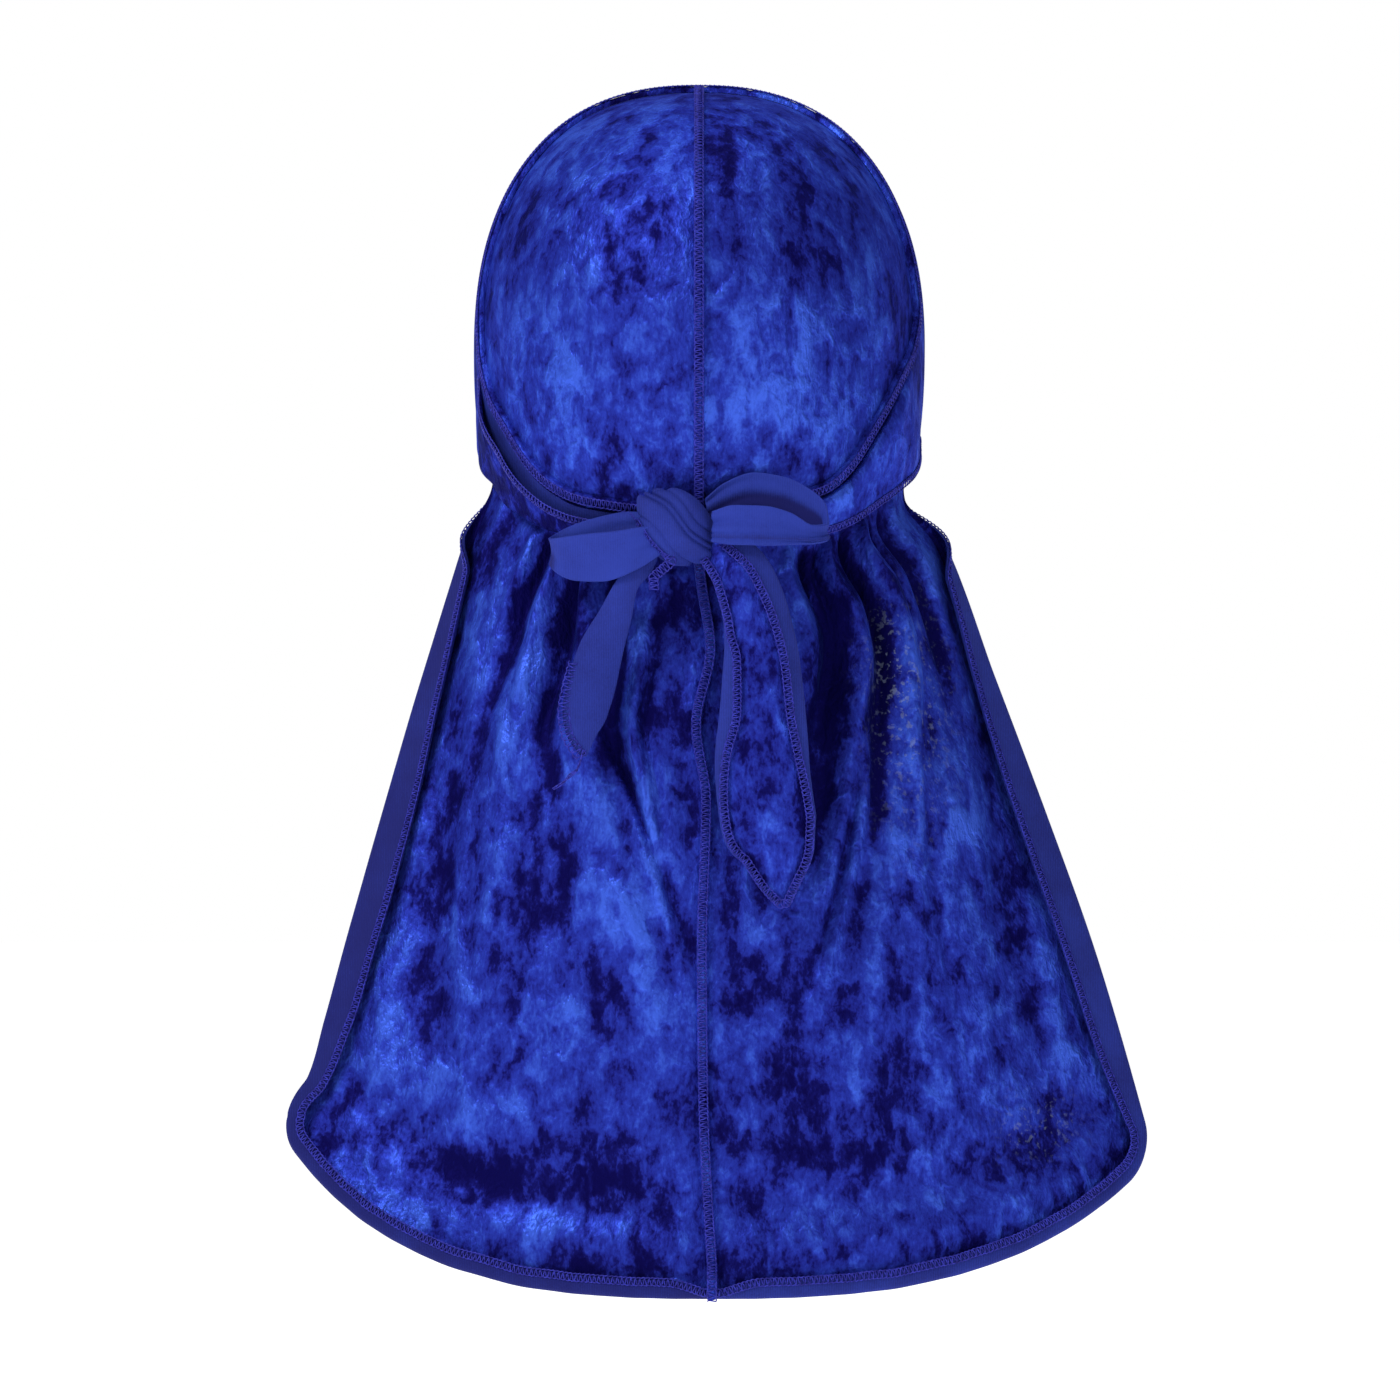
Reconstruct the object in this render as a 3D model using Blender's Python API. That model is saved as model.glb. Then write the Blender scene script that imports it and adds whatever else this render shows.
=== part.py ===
"""Velvet durag, worn and tied: crown panels with a long cape, a front band, and straps in a bow at the nape.

Metres, +Z up. The face looks along -Y and the cape hangs at +Y. The origin is the inside top of the crown.
"""

import bmesh
import bpy
import numpy as np

MM = 0.001

# Head room inside the crown
HEAD_HALF_BREADTH = 77.0 * MM
HEAD_BACK = 96.0 * MM
HEAD_FRONT = 93.0 * MM
CROWN_HEIGHT = 90.0 * MM
LOWER_HEIGHT = 110.0 * MM
HEAD_SQUARENESS = 2.33

# Cloth
CLOTH = 1.2 * MM
GAP = 0.3 * MM
LAYER_GAP = 0.5 * MM
FOLD_RADIUS = 1.9 * MM
HEM_ROLL = 4.0 * MM

# Crown and cape
NAPE_DEPTH = 153.0 * MM
PANEL_ANGLE = np.radians(76.0)
STRAP_CLEARANCE = 4.0 * MM
HEM_DEPTH = 419.0 * MM
CORNER_RISE = {"left": 59.0 * MM, "right": 46.0 * MM}
HEM_CURVE = {"left": 2.85, "right": 2.6}
CAPE_HALF_WIDTH = 150.0 * MM
CAPE_BACK = 106.0 * MM
CORNER_REACH = 56.0 * MM
SIDE_FOLD = 13.0 * MM
CORNER_SHARE = (0.07, 0.045)
FOLD_HEIGHT = 6.0 * MM
SEAM_DRIFT = 5.0 * MM

# How far round from the very top the crown's rows start, in radians, and how its columns crowd to the side
CROWN_TOP_TURN = 0.012
EDGE_CROWDING = 1.15

# Shares down the cape over which the crown still holds its top and the centre seam starts to drift
HOLD_SHARE = 0.10
SWAY_START = 0.05

# How early and how sharply a fold swells, and the share beside each edge of a panel where the folds fade
SWELL_LEAN = 0.6
SWELL_SHARPNESS = 1.2
QUIET_EDGE = 0.10

# Shares of the side edge over which its fold opens and of the hem over which its roll fades at the centre
# seam, the least share of a turn, and the least length beyond a turn
SIDE_FOLD_OPENS = 0.16
HEM_ROLL_FADES = 0.08
LEAST_TURN = 0.06
LEAST_FLAT = 0.4 * MM

# Seams
SEAM_WIDTH = 4.0 * MM
SEAM_HEIGHT = 2.2 * MM
SEAM_ROOM = 3.2 * MM

# Where the front seam ends beside the knot, as a depth share, and how far the layers on the head stand off it
FRONT_SEAM_END = 0.95
OVER_LIFT = 1.5 * CLOTH + LAYER_GAP

# How far a strap's fold is open where it starts, and the share of the strap over which it opens fully
STRAP_OPEN_AT_START = 0.15
STRAP_OPENS = 0.30

# Cross-section of a seam: shares of its width and height
SEAM_PROFILE = ((-0.5, 0.0), (-0.5, 0.55), (-0.25, 1.0), (0.25, 1.0), (0.5, 0.55), (0.5, 0.0))

# Bow
KNOT_SIDE = 8.0 * MM
KNOT_STANDOFF = 11.2 * MM
KNOT_HALF = (12.8 * MM, 9.5 * MM, 13.8 * MM)
KNOT_LEAN = 0.36
CREASE_ANGLE = np.radians(-41.0)
CREASE_DEPTH = 0.05
CREASES = 6.0
BACK_CREASE_SHARE = 0.4
LOOP_REACH = {"left": 52.0 * MM, "right": 45.0 * MM}
LOOP_WIDTH = {"left": 17.0 * MM, "right": 14.0 * MM}
TAIL_LENGTH = {"left": 80.0 * MM, "right": 131.0 * MM}
TAIL_WIDTH = {"left": 16.5 * MM, "right": 31.0 * MM}

# Mesh steps
LINE_STEPS = 200
CROWN_ROWS = 13
CAPE_ROWS = 21
PANEL_COLUMNS = 17
TURN_STEPS = 4
FLAT_STEPS = 2
BAND_ROWS = 12
BAND_COLUMNS = 9
STRAP_ROWS = 16
STRAP_COLUMNS = 4
SEAM_ROWS = 28
KNOT_ROWS = 11
KNOT_COLUMNS = 20
LOOP_STEPS = 20
LOOP_COLUMNS = 5
TAIL_STEPS = 18
TAIL_COLUMNS = 7

SIDES = {"left": 1.0, "right": -1.0}

VELVET = (0.020, 0.045, 0.42)
KNIT = (0.028, 0.042, 0.30)
THREAD = (0.015, 0.020, 0.22)
ROUGHNESS = 0.6
TAIL_COLOR = {"left": KNIT, "right": VELVET}

# The front seam down one side: depth as a share of the nape depth, angle in degrees round from the back
SEAM_LINE = {
    "left": ((0.0, 86), (0.15, 78), (0.30, 77), (0.47, 77), (0.60, 74), (0.68, 69), (0.77, 59), (0.87, 48),
             (0.925, 36), (0.945, 22), (0.955, 10)),
    "right": ((0.0, 86), (0.15, 78), (0.30, 77), (0.47, 77), (0.58, 71), (0.66, 62), (0.76, 52), (0.86, 43),
              (0.905, 36), (0.93, 24), (0.945, 8)),
}

# The panel's front edge, under the seam: depth as a share of the nape depth, angle in degrees
PANEL_EDGE = ((0.0, 89.5), (0.15, 82), (0.30, 81), (0.50, 80.5), (0.80, 77), (1.0, 76))

# Where the band ends and the straps start: depth share on the seam, angle on the lower edge
BAND_END = {"seam": 0.62, "edge": 88}
STRAP_START = {"seam": 0.624, "edge": 87.6}
STRAP_END = {"seam": 0.955, "edge": 9}
FOREHEAD = 180

# Strip of the strap's reverse side left showing beyond its outer layer: share along the strap, share of its
# height
STRAP_STRIP = {
    "left": ((0.0, 0.10), (0.4, 0.22), (0.75, 0.44), (1.0, 0.70)),
    "right": ((0.0, 0.04), (0.4, 0.10), (0.75, 0.24), (1.0, 0.36)),
}

# The lower edge of the band and strap: angle in degrees round from the back, depth share
LOWER_EDGE = {
    "left": ((8, 1.02), (34, 1.005), (44, 0.995), (52, 0.975), (62, 0.94), (68, 0.895), (77, 0.85),
             (88, 0.80), (100, 0.745), (120, 0.65), (150, 0.53), (168, 0.485), (180, 0.48)),
    "right": ((8, 1.02), (38, 1.0), (49, 0.965), (59, 0.925), (69, 0.885), (79, 0.85), (88, 0.80),
              (100, 0.74), (120, 0.65), (150, 0.53), (168, 0.485), (180, 0.48)),
}

# The cape: share down it, half width, depth of the centre and of the edge behind the head, arc in degrees
CAPE_SECTIONS = {
    "left": ((0.0, 0.475, 0.790, 0.34, 76), (0.03, 0.485, 0.792, 0.37, 76), (0.1, 0.530, 0.800, 0.44, 74),
             (0.3, 0.628, 0.850, 0.58, 68), (0.5, 0.717, 0.895, 0.70, 62), (0.7, 0.803, 0.935, 0.82, 57),
             (0.85, 0.865, 0.965, 0.90, 53), (0.94, 0.905, 0.985, 0.96, 51), (1.0, 0.990, 1.0, 1.0, 50)),
    "right": ((0.0, 0.475, 0.790, 0.34, 76), (0.03, 0.478, 0.792, 0.37, 76), (0.1, 0.560, 0.800, 0.44, 74),
              (0.3, 0.682, 0.850, 0.58, 68), (0.5, 0.801, 0.895, 0.70, 62), (0.7, 0.914, 0.935, 0.82, 57),
              (0.85, 0.986, 0.965, 0.90, 53), (1.0, 1.052, 1.0, 1.0, 50)),
}

# Sideways drift of the centre seam: share down the cape, share of SEAM_DRIFT towards the left
SEAM_SWAY = (
    (0.0, 0.3), (0.08, -0.2), (0.16, -0.8), (0.26, 0.2), (0.36, -0.5), (0.55, -0.2), (0.75, -0.3),
    (1.0, -1.0),
)

# Cape folds: place across the panel at the top and bottom of the fold, shares down the cape where it starts
# and ends, width as a share of the panel, height as a share of FOLD_HEIGHT
CAPE_FOLDS = {
    "left": ((0.79, 0.88, 0.0, 0.60, 0.070, 0.35), (0.66, 0.72, 0.0, 0.42, 0.040, -0.45),
             (0.58, 0.60, 0.0, 0.50, 0.050, 0.50), (0.50, 0.48, 0.0, 0.40, 0.040, -0.55),
             (0.42, 0.28, 0.0, 0.62, 0.055, 0.60), (0.33, 0.20, 0.02, 0.46, 0.045, -0.50),
             (0.24, 0.08, 0.08, 0.55, 0.045, 0.55), (0.36, 0.02, 0.20, 0.80, 0.050, 0.45),
             (0.70, 0.40, 0.15, 0.95, 0.110, 0.45), (0.88, 0.66, 0.20, 1.0, 0.090, -0.30)),
    "right": ((0.86, 0.78, 0.0, 0.45, 0.040, -0.35), (0.74, 0.58, 0.0, 0.48, 0.050, 0.55),
              (0.63, 0.48, 0.0, 0.40, 0.038, -0.60), (0.60, 0.20, 0.0, 0.66, 0.045, 0.60),
              (0.48, 0.27, 0.0, 0.46, 0.060, -0.85), (0.25, 0.10, 0.05, 0.60, 0.060, 0.40),
              (0.66, 0.22, 0.14, 0.98, 0.075, 0.50), (0.80, 0.46, 0.20, 1.0, 0.110, 0.45),
              (0.92, 0.72, 0.30, 1.0, 0.090, -0.30)),
}

# Folded-back side edge: share down the cape, share of SIDE_FOLD
SIDE_FOLD_ROWS = ((0.0, 0.02), (0.08, 0.10), (0.16, 0.65), (0.5, 1.0), (0.8, 0.85), (1.0, 0.30))

# Rolls that run across above the hem: share down the cape, height share, half height as a share of the cape
HEM_WAVES = ((0.88, -0.30, 0.035), (0.94, 0.30, 0.030))

# Loops, from the knot out along the near arm and back: share of the reach, then offsets back and down from
# the knot as shares of the loop width, and the width share
LOOP_ROWS = {
    "left": ((0.20, 0.25, 0.20, 0.50), (0.42, 0.30, 0.46, 0.86), (0.64, 0.10, 0.62, 1.0),
             (0.84, -0.25, 0.64, 0.92), (0.96, -0.60, 0.58, 0.70), (1.0, -0.88, 0.50, 0.55),
             (0.93, -1.05, 0.42, 0.66), (0.74, -0.84, 0.26, 0.80), (0.48, -0.46, 0.06, 0.72),
             (0.25, -0.20, 0.0, 0.45)),
    "right": ((0.10, 0.50, 0.0, 0.75), (0.28, 0.78, -0.04, 0.98), (0.50, 0.80, -0.02, 0.98),
              (0.70, 0.68, 0.05, 0.80), (0.88, 0.50, 0.20, 0.46), (1.0, 0.12, 0.12, 0.42),
              (0.98, -0.22, -0.14, 0.80), (0.86, -0.40, -0.44, 0.98), (0.66, -0.50, -0.74, 1.0),
              (0.42, -0.46, -0.86, 0.98), (0.20, -0.34, -0.66, 0.88), (0.05, -0.20, -0.40, 0.62)),
}

# Tails, from the knot down: share of the length, offsets to the wearer's left and back from the knot as
# shares of the length, width share, bow of the cross-section as a share of the width
TAIL_ROWS = {
    "left": ((0.05, 0.09, 0.03, 0.30, 0.0), (0.17, 0.13, 0.03, 0.32, 0.05), (0.25, 0.21, 0.02, 0.45, 0.10),
             (0.40, 0.27, -0.01, 0.70, 0.12), (0.55, 0.33, -0.03, 0.92, 0.12), (0.70, 0.37, -0.02, 1.0, 0.10),
             (0.80, 0.395, -0.01, 0.96, 0.08), (0.90, 0.41, 0.0, 0.66, 0.05), (1.0, 0.40, 0.0, 0.12, 0.0)),
    "right": ((0.04, -0.10, 0.02, 0.42, 0.0), (0.13, -0.175, 0.045, 0.60, 0.12),
              (0.25, -0.215, 0.04, 0.68, 0.16), (0.36, -0.228, 0.04, 0.78, 0.16),
              (0.50, -0.23, 0.05, 0.90, 0.14), (0.62, -0.228, 0.05, 0.98, 0.12),
              (0.78, -0.245, 0.05, 1.0, 0.10), (0.87, -0.268, 0.05, 0.76, 0.08),
              (0.94, -0.275, 0.05, 0.44, 0.04), (1.0, -0.285, 0.05, 0.08, 0.0)),
}


def follow(rows, share):
    """Each column of a table at these shares of its first column, on one smooth curve without overshoot."""
    table = np.array(rows, float)
    steps = np.diff(table[:, 0])[:, None]
    slopes = np.diff(table[:, 1:], axis=0) / steps
    same_way = slopes[:-1] * slopes[1:] > 0
    sums = np.where(same_way, slopes[:-1] + slopes[1:], 1)
    middle = np.where(same_way, 2 * slopes[:-1] * slopes[1:] / sums, 0)
    tangents = np.vstack([slopes[:1], middle, slopes[-1:]])
    share = np.clip(share, table[0, 0], table[-1, 0])
    row = np.clip(np.searchsorted(table[:, 0], share, side="right") - 1, 0, len(steps) - 1)
    step = steps[row]
    t = (share[..., None] - table[row, :1]) / step
    start = (1 + 2 * t) * (1 - t) ** 2 * table[row, 1:] + t * (1 - t) ** 2 * step * tangents[row]
    end = t * t * (3 - 2 * t) * table[row + 1, 1:] + t * t * (t - 1) * step * tangents[row + 1]
    return start + end


def smoothstep(t):
    t = np.clip(t, 0, 1)
    return t * t * (3 - 2 * t)


def unit(vectors):
    return vectors / np.linalg.norm(vectors, axis=-1, keepdims=True)


def head_radii(points):
    """The head's three half sizes on the side of its widest section where each point lies."""
    back = np.where(points[..., 1] > 0, HEAD_BACK, HEAD_FRONT)
    height = np.where(points[..., 2] > 0, CROWN_HEIGHT, LOWER_HEIGHT)
    return HEAD_HALF_BREADTH, back, height


def on_head(directions, lift):
    """Points this far off the head's surface, in these directions from the middle of its widest section."""
    breadth, back, height = head_radii(directions)
    flat = np.hypot(directions[..., 0] / breadth, directions[..., 1] / back)
    up = np.abs(directions[..., 2]) / height
    reach = (flat**HEAD_SQUARENESS + up**HEAD_SQUARENESS) ** (-1 / HEAD_SQUARENESS)
    points = directions * reach[..., None]
    round_part = np.hypot(points[..., 0] / breadth, points[..., 1] / back) ** (HEAD_SQUARENESS - 2)
    normals = np.stack(
        [
            round_part * points[..., 0] / breadth**2,
            round_part * points[..., 1] / back**2,
            np.sign(points[..., 2]) * up_share(points, height) / height,
        ],
        axis=-1,
    )
    points = points + unit(normals) * np.asarray(lift)[..., None]
    return points - np.array([0, 0, CROWN_HEIGHT])


def up_share(points, height):
    return (np.abs(points[..., 2]) / height) ** (HEAD_SQUARENESS - 1)


def head_direction(angle, depth):
    """The direction of the head's point at this angle round from the back and this depth below its top."""
    height = np.where(depth < CROWN_HEIGHT, CROWN_HEIGHT, LOWER_HEIGHT)
    up = CROWN_HEIGHT - depth
    flat = np.maximum(1 - (np.abs(up) / height) ** HEAD_SQUARENESS, 1e-6) ** (1 / HEAD_SQUARENESS)
    back = np.where(np.cos(angle) > 0, HEAD_BACK, HEAD_FRONT)
    across = HEAD_HALF_BREADTH * flat * np.sin(angle)
    return np.stack([across, back * flat * np.cos(angle), up], axis=-1)


def arc_between(first, second, share):
    """Directions on the shortest way round the head from one set of directions to another."""
    first = unit(first)
    second = unit(second)
    angle = np.arccos(np.clip((first * second).sum(-1), -1, 1))[..., None]
    share = np.asarray(share)[..., None]
    return (np.sin((1 - share) * angle) * first + np.sin(share * angle) * second) / np.sin(angle)


def evenly(points, count):
    """This many points, evenly spaced along a line of points."""
    lengths = np.concatenate([[0], np.cumsum(np.linalg.norm(np.diff(points, axis=0), axis=1))])
    places = np.linspace(0, lengths[-1], count)
    return np.stack([np.interp(places, lengths, points[:, axis]) for axis in range(3)], axis=1)


def mirrored(points, side):
    return points * np.array([SIDES[side], 1, 1])


def seam_directions(side, start, end, count):
    """Evenly spaced directions along one side's front seam, for its +X form, between two depth shares."""
    shares = np.linspace(start**0.5, end**0.5, LINE_STEPS) ** 2
    angles = np.radians(follow(SEAM_LINE[side], shares)[:, 0])
    return evenly(head_direction(angles, shares * NAPE_DEPTH), count)


def edge_directions(side, start, end, count):
    """Evenly spaced directions along the lower edge of the band and strap, between two angles in degrees."""
    angles = np.linspace(start, end, LINE_STEPS)
    depths = follow(LOWER_EDGE[side], angles)[:, 0] * NAPE_DEPTH
    return evenly(head_direction(np.radians(angles), depths), count)


def cape_line_depth(side, angle):
    """Depth at which the cape leaves the head, just below the strap."""
    return follow(LOWER_EDGE[side], np.degrees(angle))[..., 0] * NAPE_DEPTH + STRAP_CLEARANCE


def sheet_normals(grid):
    along = np.gradient(grid, axis=0)
    across = np.gradient(grid, axis=1)
    return unit(np.cross(along, across))


def fold_heights(side, across, down):
    """How far the cape's folds stand off its smooth section, at shares across and down it."""
    height = np.zeros_like(across)
    for top, bottom, start, end, width, rise in CAPE_FOLDS[side]:
        place = np.clip((down - start) / (end - start), 0, 1)
        centre = top + (bottom - top) * place
        swell = np.sin(np.pi * place**SWELL_LEAN) ** SWELL_SHARPNESS
        height += rise * swell * np.exp(-(((across - centre) / width) ** 2))
    for place, rise, half in HEM_WAVES:
        height += rise * np.exp(-(((down - place) / half) ** 2)) * (1 - 0.5 * across)
    quiet_edges = smoothstep(across / QUIET_EDGE) * smoothstep((1.0 - across) / QUIET_EDGE)
    return FOLD_HEIGHT * height * quiet_edges


def crown_points(side, across, share):
    """The half of the crown on one side, from the top of the head at share 0 to the strap's lower edge."""
    line = cape_line_depth(side, PANEL_ANGLE * across)
    deepest = np.pi - np.arccos(((line - CROWN_HEIGHT) / LOWER_HEIGHT) ** (HEAD_SQUARENESS / 2))
    turn = CROWN_TOP_TURN + (deepest - CROWN_TOP_TURN) * share
    height = np.where(turn < np.pi / 2, CROWN_HEIGHT, LOWER_HEIGHT)
    up = np.sign(np.cos(turn)) * height * np.abs(np.cos(turn)) ** (2 / HEAD_SQUARENESS)
    edge = np.radians(follow(PANEL_EDGE, (CROWN_HEIGHT - up) / NAPE_DEPTH)[..., 0])
    angle = across * (edge + (PANEL_ANGLE - edge) * share)
    return on_head(head_direction(angle, CROWN_HEIGHT - up), np.full(across.shape, CLOTH / 2))


def cape_section(side, across, down):
    """A smooth cape point: an arc of an ellipse at each share down the cape."""
    half, centre, edge, arc = np.moveaxis(follow(CAPE_SECTIONS[side], down), -1, 0)
    arc = np.radians(arc)
    turn = arc * across
    x = (half * CAPE_HALF_WIDTH - FOLD_RADIUS) * np.sin(turn) / np.sin(arc)
    drop = (1 - np.cos(turn)) / (1 - np.cos(arc))
    y = CAPE_BACK * centre - (CAPE_BACK * centre - CORNER_REACH * edge) * drop
    return x, y


def cape_points(side, across, down):
    """The half of the cape on one side, hung from the lower edge of the crown."""
    start = crown_points(side, across, np.ones_like(across))
    hem = HEM_DEPTH - CORNER_RISE[side] * across ** HEM_CURVE[side]
    z = start[..., 2] + down * (-hem - start[..., 2])
    x, y = cape_section(side, across, down)
    x0, y0 = cape_section(side, across, np.zeros_like(down))
    held = np.exp(-((down / HOLD_SHARE) ** 2))
    x = x + (start[..., 0] - x0) * held
    y = y + (start[..., 1] - y0) * held
    return np.stack([x, y, z], axis=-1)


def rounded_corner(across, down):
    """Shares moved so that the panel's lower outer corner is round."""
    wide, tall = CORNER_SHARE
    a = np.clip((across - 1 + wide) / wide, 0, 1)
    b = np.clip((down - 1 + tall) / tall, 0, 1)
    across = np.where(a > 0, 1 - wide + wide * a * np.sqrt(1 - b * b / 2), across)
    down = np.where(b > 0, 1 - tall + tall * b * np.sqrt(1 - a * a / 2), down)
    return across, down


def panel_grid(side):
    """Middle of one panel's cloth: rows from the crown's top to the hem, columns out from the centre seam."""
    columns = 1 - (1 - np.linspace(0, 1, PANEL_COLUMNS)) ** EDGE_CROWDING
    crown = np.linspace(0, 1, CROWN_ROWS, endpoint=False)
    across, share = np.meshgrid(columns, crown)
    top = crown_points(side, across, share)
    across, down = np.meshgrid(columns, np.linspace(0, 1, CAPE_ROWS))
    across, down = rounded_corner(across, down)
    smooth = cape_points(side, across, down)
    folded = smooth - sheet_normals(smooth) * fold_heights(side, across, down)[..., None]
    grid = mirrored(np.vstack([top, folded]), side)
    return hold_at_centre(grid, side, columns)


def centre_sway(z):
    """Sideways drift of the cape with the centre seam, at these heights."""
    down = np.clip((-z - NAPE_DEPTH) / (HEM_DEPTH - NAPE_DEPTH), 0, 1)
    return SEAM_DRIFT * follow(SEAM_SWAY, down)[..., 0] * smoothstep(down / SWAY_START)


def hold_at_centre(grid, side, across):
    """The panel moved with the centre seam's drift, fading towards its side edge, and off it by half the gap."""
    grid[..., 0] += centre_sway(grid[..., 2]) * (1 - smoothstep(across)) + SIDES[side] * GAP / 2
    return grid


def border_ring(grid, side):
    """The panel's side edge below the strap, then its hem, with the way out of the sheet and its normal."""
    normals = sheet_normals(grid) * -SIDES[side]
    first = CROWN_ROWS - 1
    edge = np.vstack([grid[first:, -1], grid[-1, -2::-1]])
    normal = np.vstack([normals[first:, -1], normals[-1, -2::-1]])
    along = unit(np.gradient(edge, axis=0))
    outward = unit(np.cross(along, normal)) * SIDES[side]
    side_count = len(grid) - first
    return edge, outward, unit(normal), side_count


def rolled_edge(edge, outward, normal, turn, flat):
    """Rows of points that carry a sheet's edge round a turn, then on over the sheet by the flat lengths."""
    rows = []
    for step in range(1, TURN_STEPS + 1):
        angle = turn * step / TURN_STEPS
        out = np.sin(angle) * FOLD_RADIUS
        up = (1 - np.cos(angle)) * FOLD_RADIUS
        rows.append(edge + outward * out[:, None] + normal * up[:, None])
    way = np.cos(turn)[:, None] * outward + np.sin(turn)[:, None] * normal
    for step in range(1, FLAT_STEPS + 1):
        rows.append(rows[TURN_STEPS - 1] + way * (flat * step / FLAT_STEPS)[:, None])
    return rows


def panel_border(grid, side):
    edge, outward, normal, side_count = border_ring(grid, side)
    place = np.arange(len(edge)) / (side_count - 1)
    on_side = place <= 1
    opened = smoothstep(place / SIDE_FOLD_OPENS)
    widths = follow(SIDE_FOLD_ROWS, np.minimum(place, 1))[:, 0]
    flat = np.where(on_side, SIDE_FOLD * widths, HEM_ROLL)
    turn = np.where(on_side, np.pi * np.maximum(opened, LEAST_TURN), np.pi)
    last = smoothstep((place[-1] - place) / (place[-1] - 1) / HEM_ROLL_FADES)
    flat = np.maximum(flat * np.where(on_side, 1, last), LEAST_FLAT)
    return rolled_edge(edge, outward, normal, turn, flat)


def band_grid():
    """Middle of the band's cloth: rows from behind one ear over the forehead, columns down from the seam."""
    halves = []
    for side in SIDES:
        seam = seam_directions(side, 0.0, BAND_END["seam"], BAND_ROWS)
        edge = edge_directions(side, FOREHEAD, BAND_END["edge"], BAND_ROWS)
        room = SEAM_ROOM / np.linalg.norm(seam - edge, axis=-1)[:, None]
        share = room + (1 - room) * np.linspace(0, 1, BAND_COLUMNS)
        way = arc_between(seam[:, None, :], edge[:, None, :], share)
        halves.append(mirrored(on_head(way, np.full(share.shape, OVER_LIFT)), side))
    left, right = halves
    return np.vstack([left[:0:-1], (left[:1] + right[:1]) / 2, right[1:]])


def strap_grid(side):
    """The strap folded lengthwise: the layer against the head, the turn, and the layer outside it."""
    seam = seam_directions(side, STRAP_START["seam"], STRAP_END["seam"], STRAP_ROWS)
    edge = edge_directions(side, STRAP_START["edge"], STRAP_END["edge"], STRAP_ROWS)
    along = np.linspace(0, 1, STRAP_ROWS)
    outer = OVER_LIFT + 2 * FOLD_RADIUS * smoothstep(STRAP_OPEN_AT_START + along / STRAP_OPENS)
    tall = np.linalg.norm(seam - edge, axis=-1)
    first = SEAM_ROOM / tall
    turn = FOLD_RADIUS / tall
    strip = follow(STRAP_STRIP[side], along)[:, 0]
    shares = [first + share * (1 - first - turn) for share in np.linspace(0, 1, STRAP_COLUMNS)]
    lifts = [np.full(STRAP_ROWS, OVER_LIFT)] * STRAP_COLUMNS
    for step in range(1, TURN_STEPS):
        angle = np.pi * step / TURN_STEPS
        shares.append(1 - turn + turn * np.sin(angle))
        lifts.append(OVER_LIFT + (outer - OVER_LIFT) * (1 - np.cos(angle)) / 2)
    for share in np.linspace(1, 0, STRAP_COLUMNS - 1):
        shares.append(first + (strip + (1 - strip) * share) * (1 - first - turn))
        lifts.append(outer)
    shares = np.stack(shares, axis=1)
    if side == "right":
        shares = 1 + first[:, None] - shares
    way = arc_between(seam[:, None, :], edge[:, None, :], shares)
    return mirrored(on_head(way, np.stack(lifts, axis=1)), side)


def front_seam_path():
    """The foot of the front seam from behind the left ear over to behind the right one, and its normals."""
    halves = []
    for side in SIDES:
        way = seam_directions(side, 0.0, FRONT_SEAM_END, SEAM_ROWS)
        foot = on_head(way, np.full(SEAM_ROWS, CLOTH + LAYER_GAP))
        raised = on_head(way, np.full(SEAM_ROWS, CLOTH + LAYER_GAP + MM))
        halves.append((mirrored(foot, side), mirrored(unit(raised - foot), side)))
    (left, left_up), (right, right_up) = halves
    path = np.vstack([left[:0:-1], (left[:1] + right[:1]) / 2, right[1:]])
    normal = np.vstack([left_up[:0:-1], unit(left_up[:1] + right_up[:1]), right_up[1:]])
    return path, unit(normal)


def started_at(rows, places, start):
    """Rows of points from where their places pass the start, with a first row set right on it."""
    first = np.argmax(places > start)
    share = (start - places[first - 1]) / (places[first] - places[first - 1])
    begun = rows[first - 1] + share * (rows[first] - rows[first - 1])
    return np.vstack([begun, rows[first:]])


def centre_seam_path(left, right):
    """The foot of the centre seam on both panels, from behind the front seam to above the hem's roll."""
    middle = (left[:, 0] + right[:, 0]) / 2
    normal = sheet_normals(np.stack([right[:, 1], middle, left[:, 1]], axis=1))[:, 1]
    normal[:, 0] = 0
    normal = unit(normal) * np.sign(normal[:, 1:2].mean())
    foot = middle + normal * (CLOTH / 2 + GAP)
    above_hem = middle[:, 2] > middle[-1, 2] + 2 * FOLD_RADIUS + HEM_ROLL + CLOTH
    places = middle[above_hem, 1]
    behind_front_seam = SEAM_WIDTH / 2 + 3 * GAP
    foot = started_at(foot[above_hem], places, behind_front_seam)
    return foot, unit(started_at(normal[above_hem], places, behind_front_seam))


def knot_centre():
    """The middle of the knot: off the back of the head, where the straps end, and at the depth of the nape."""
    seat = on_head(head_direction(0.0, STRAP_END["seam"] * NAPE_DEPTH), 0.0)
    return np.array([KNOT_SIDE, seat[1] + KNOT_STANDOFF, -NAPE_DEPTH])


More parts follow.
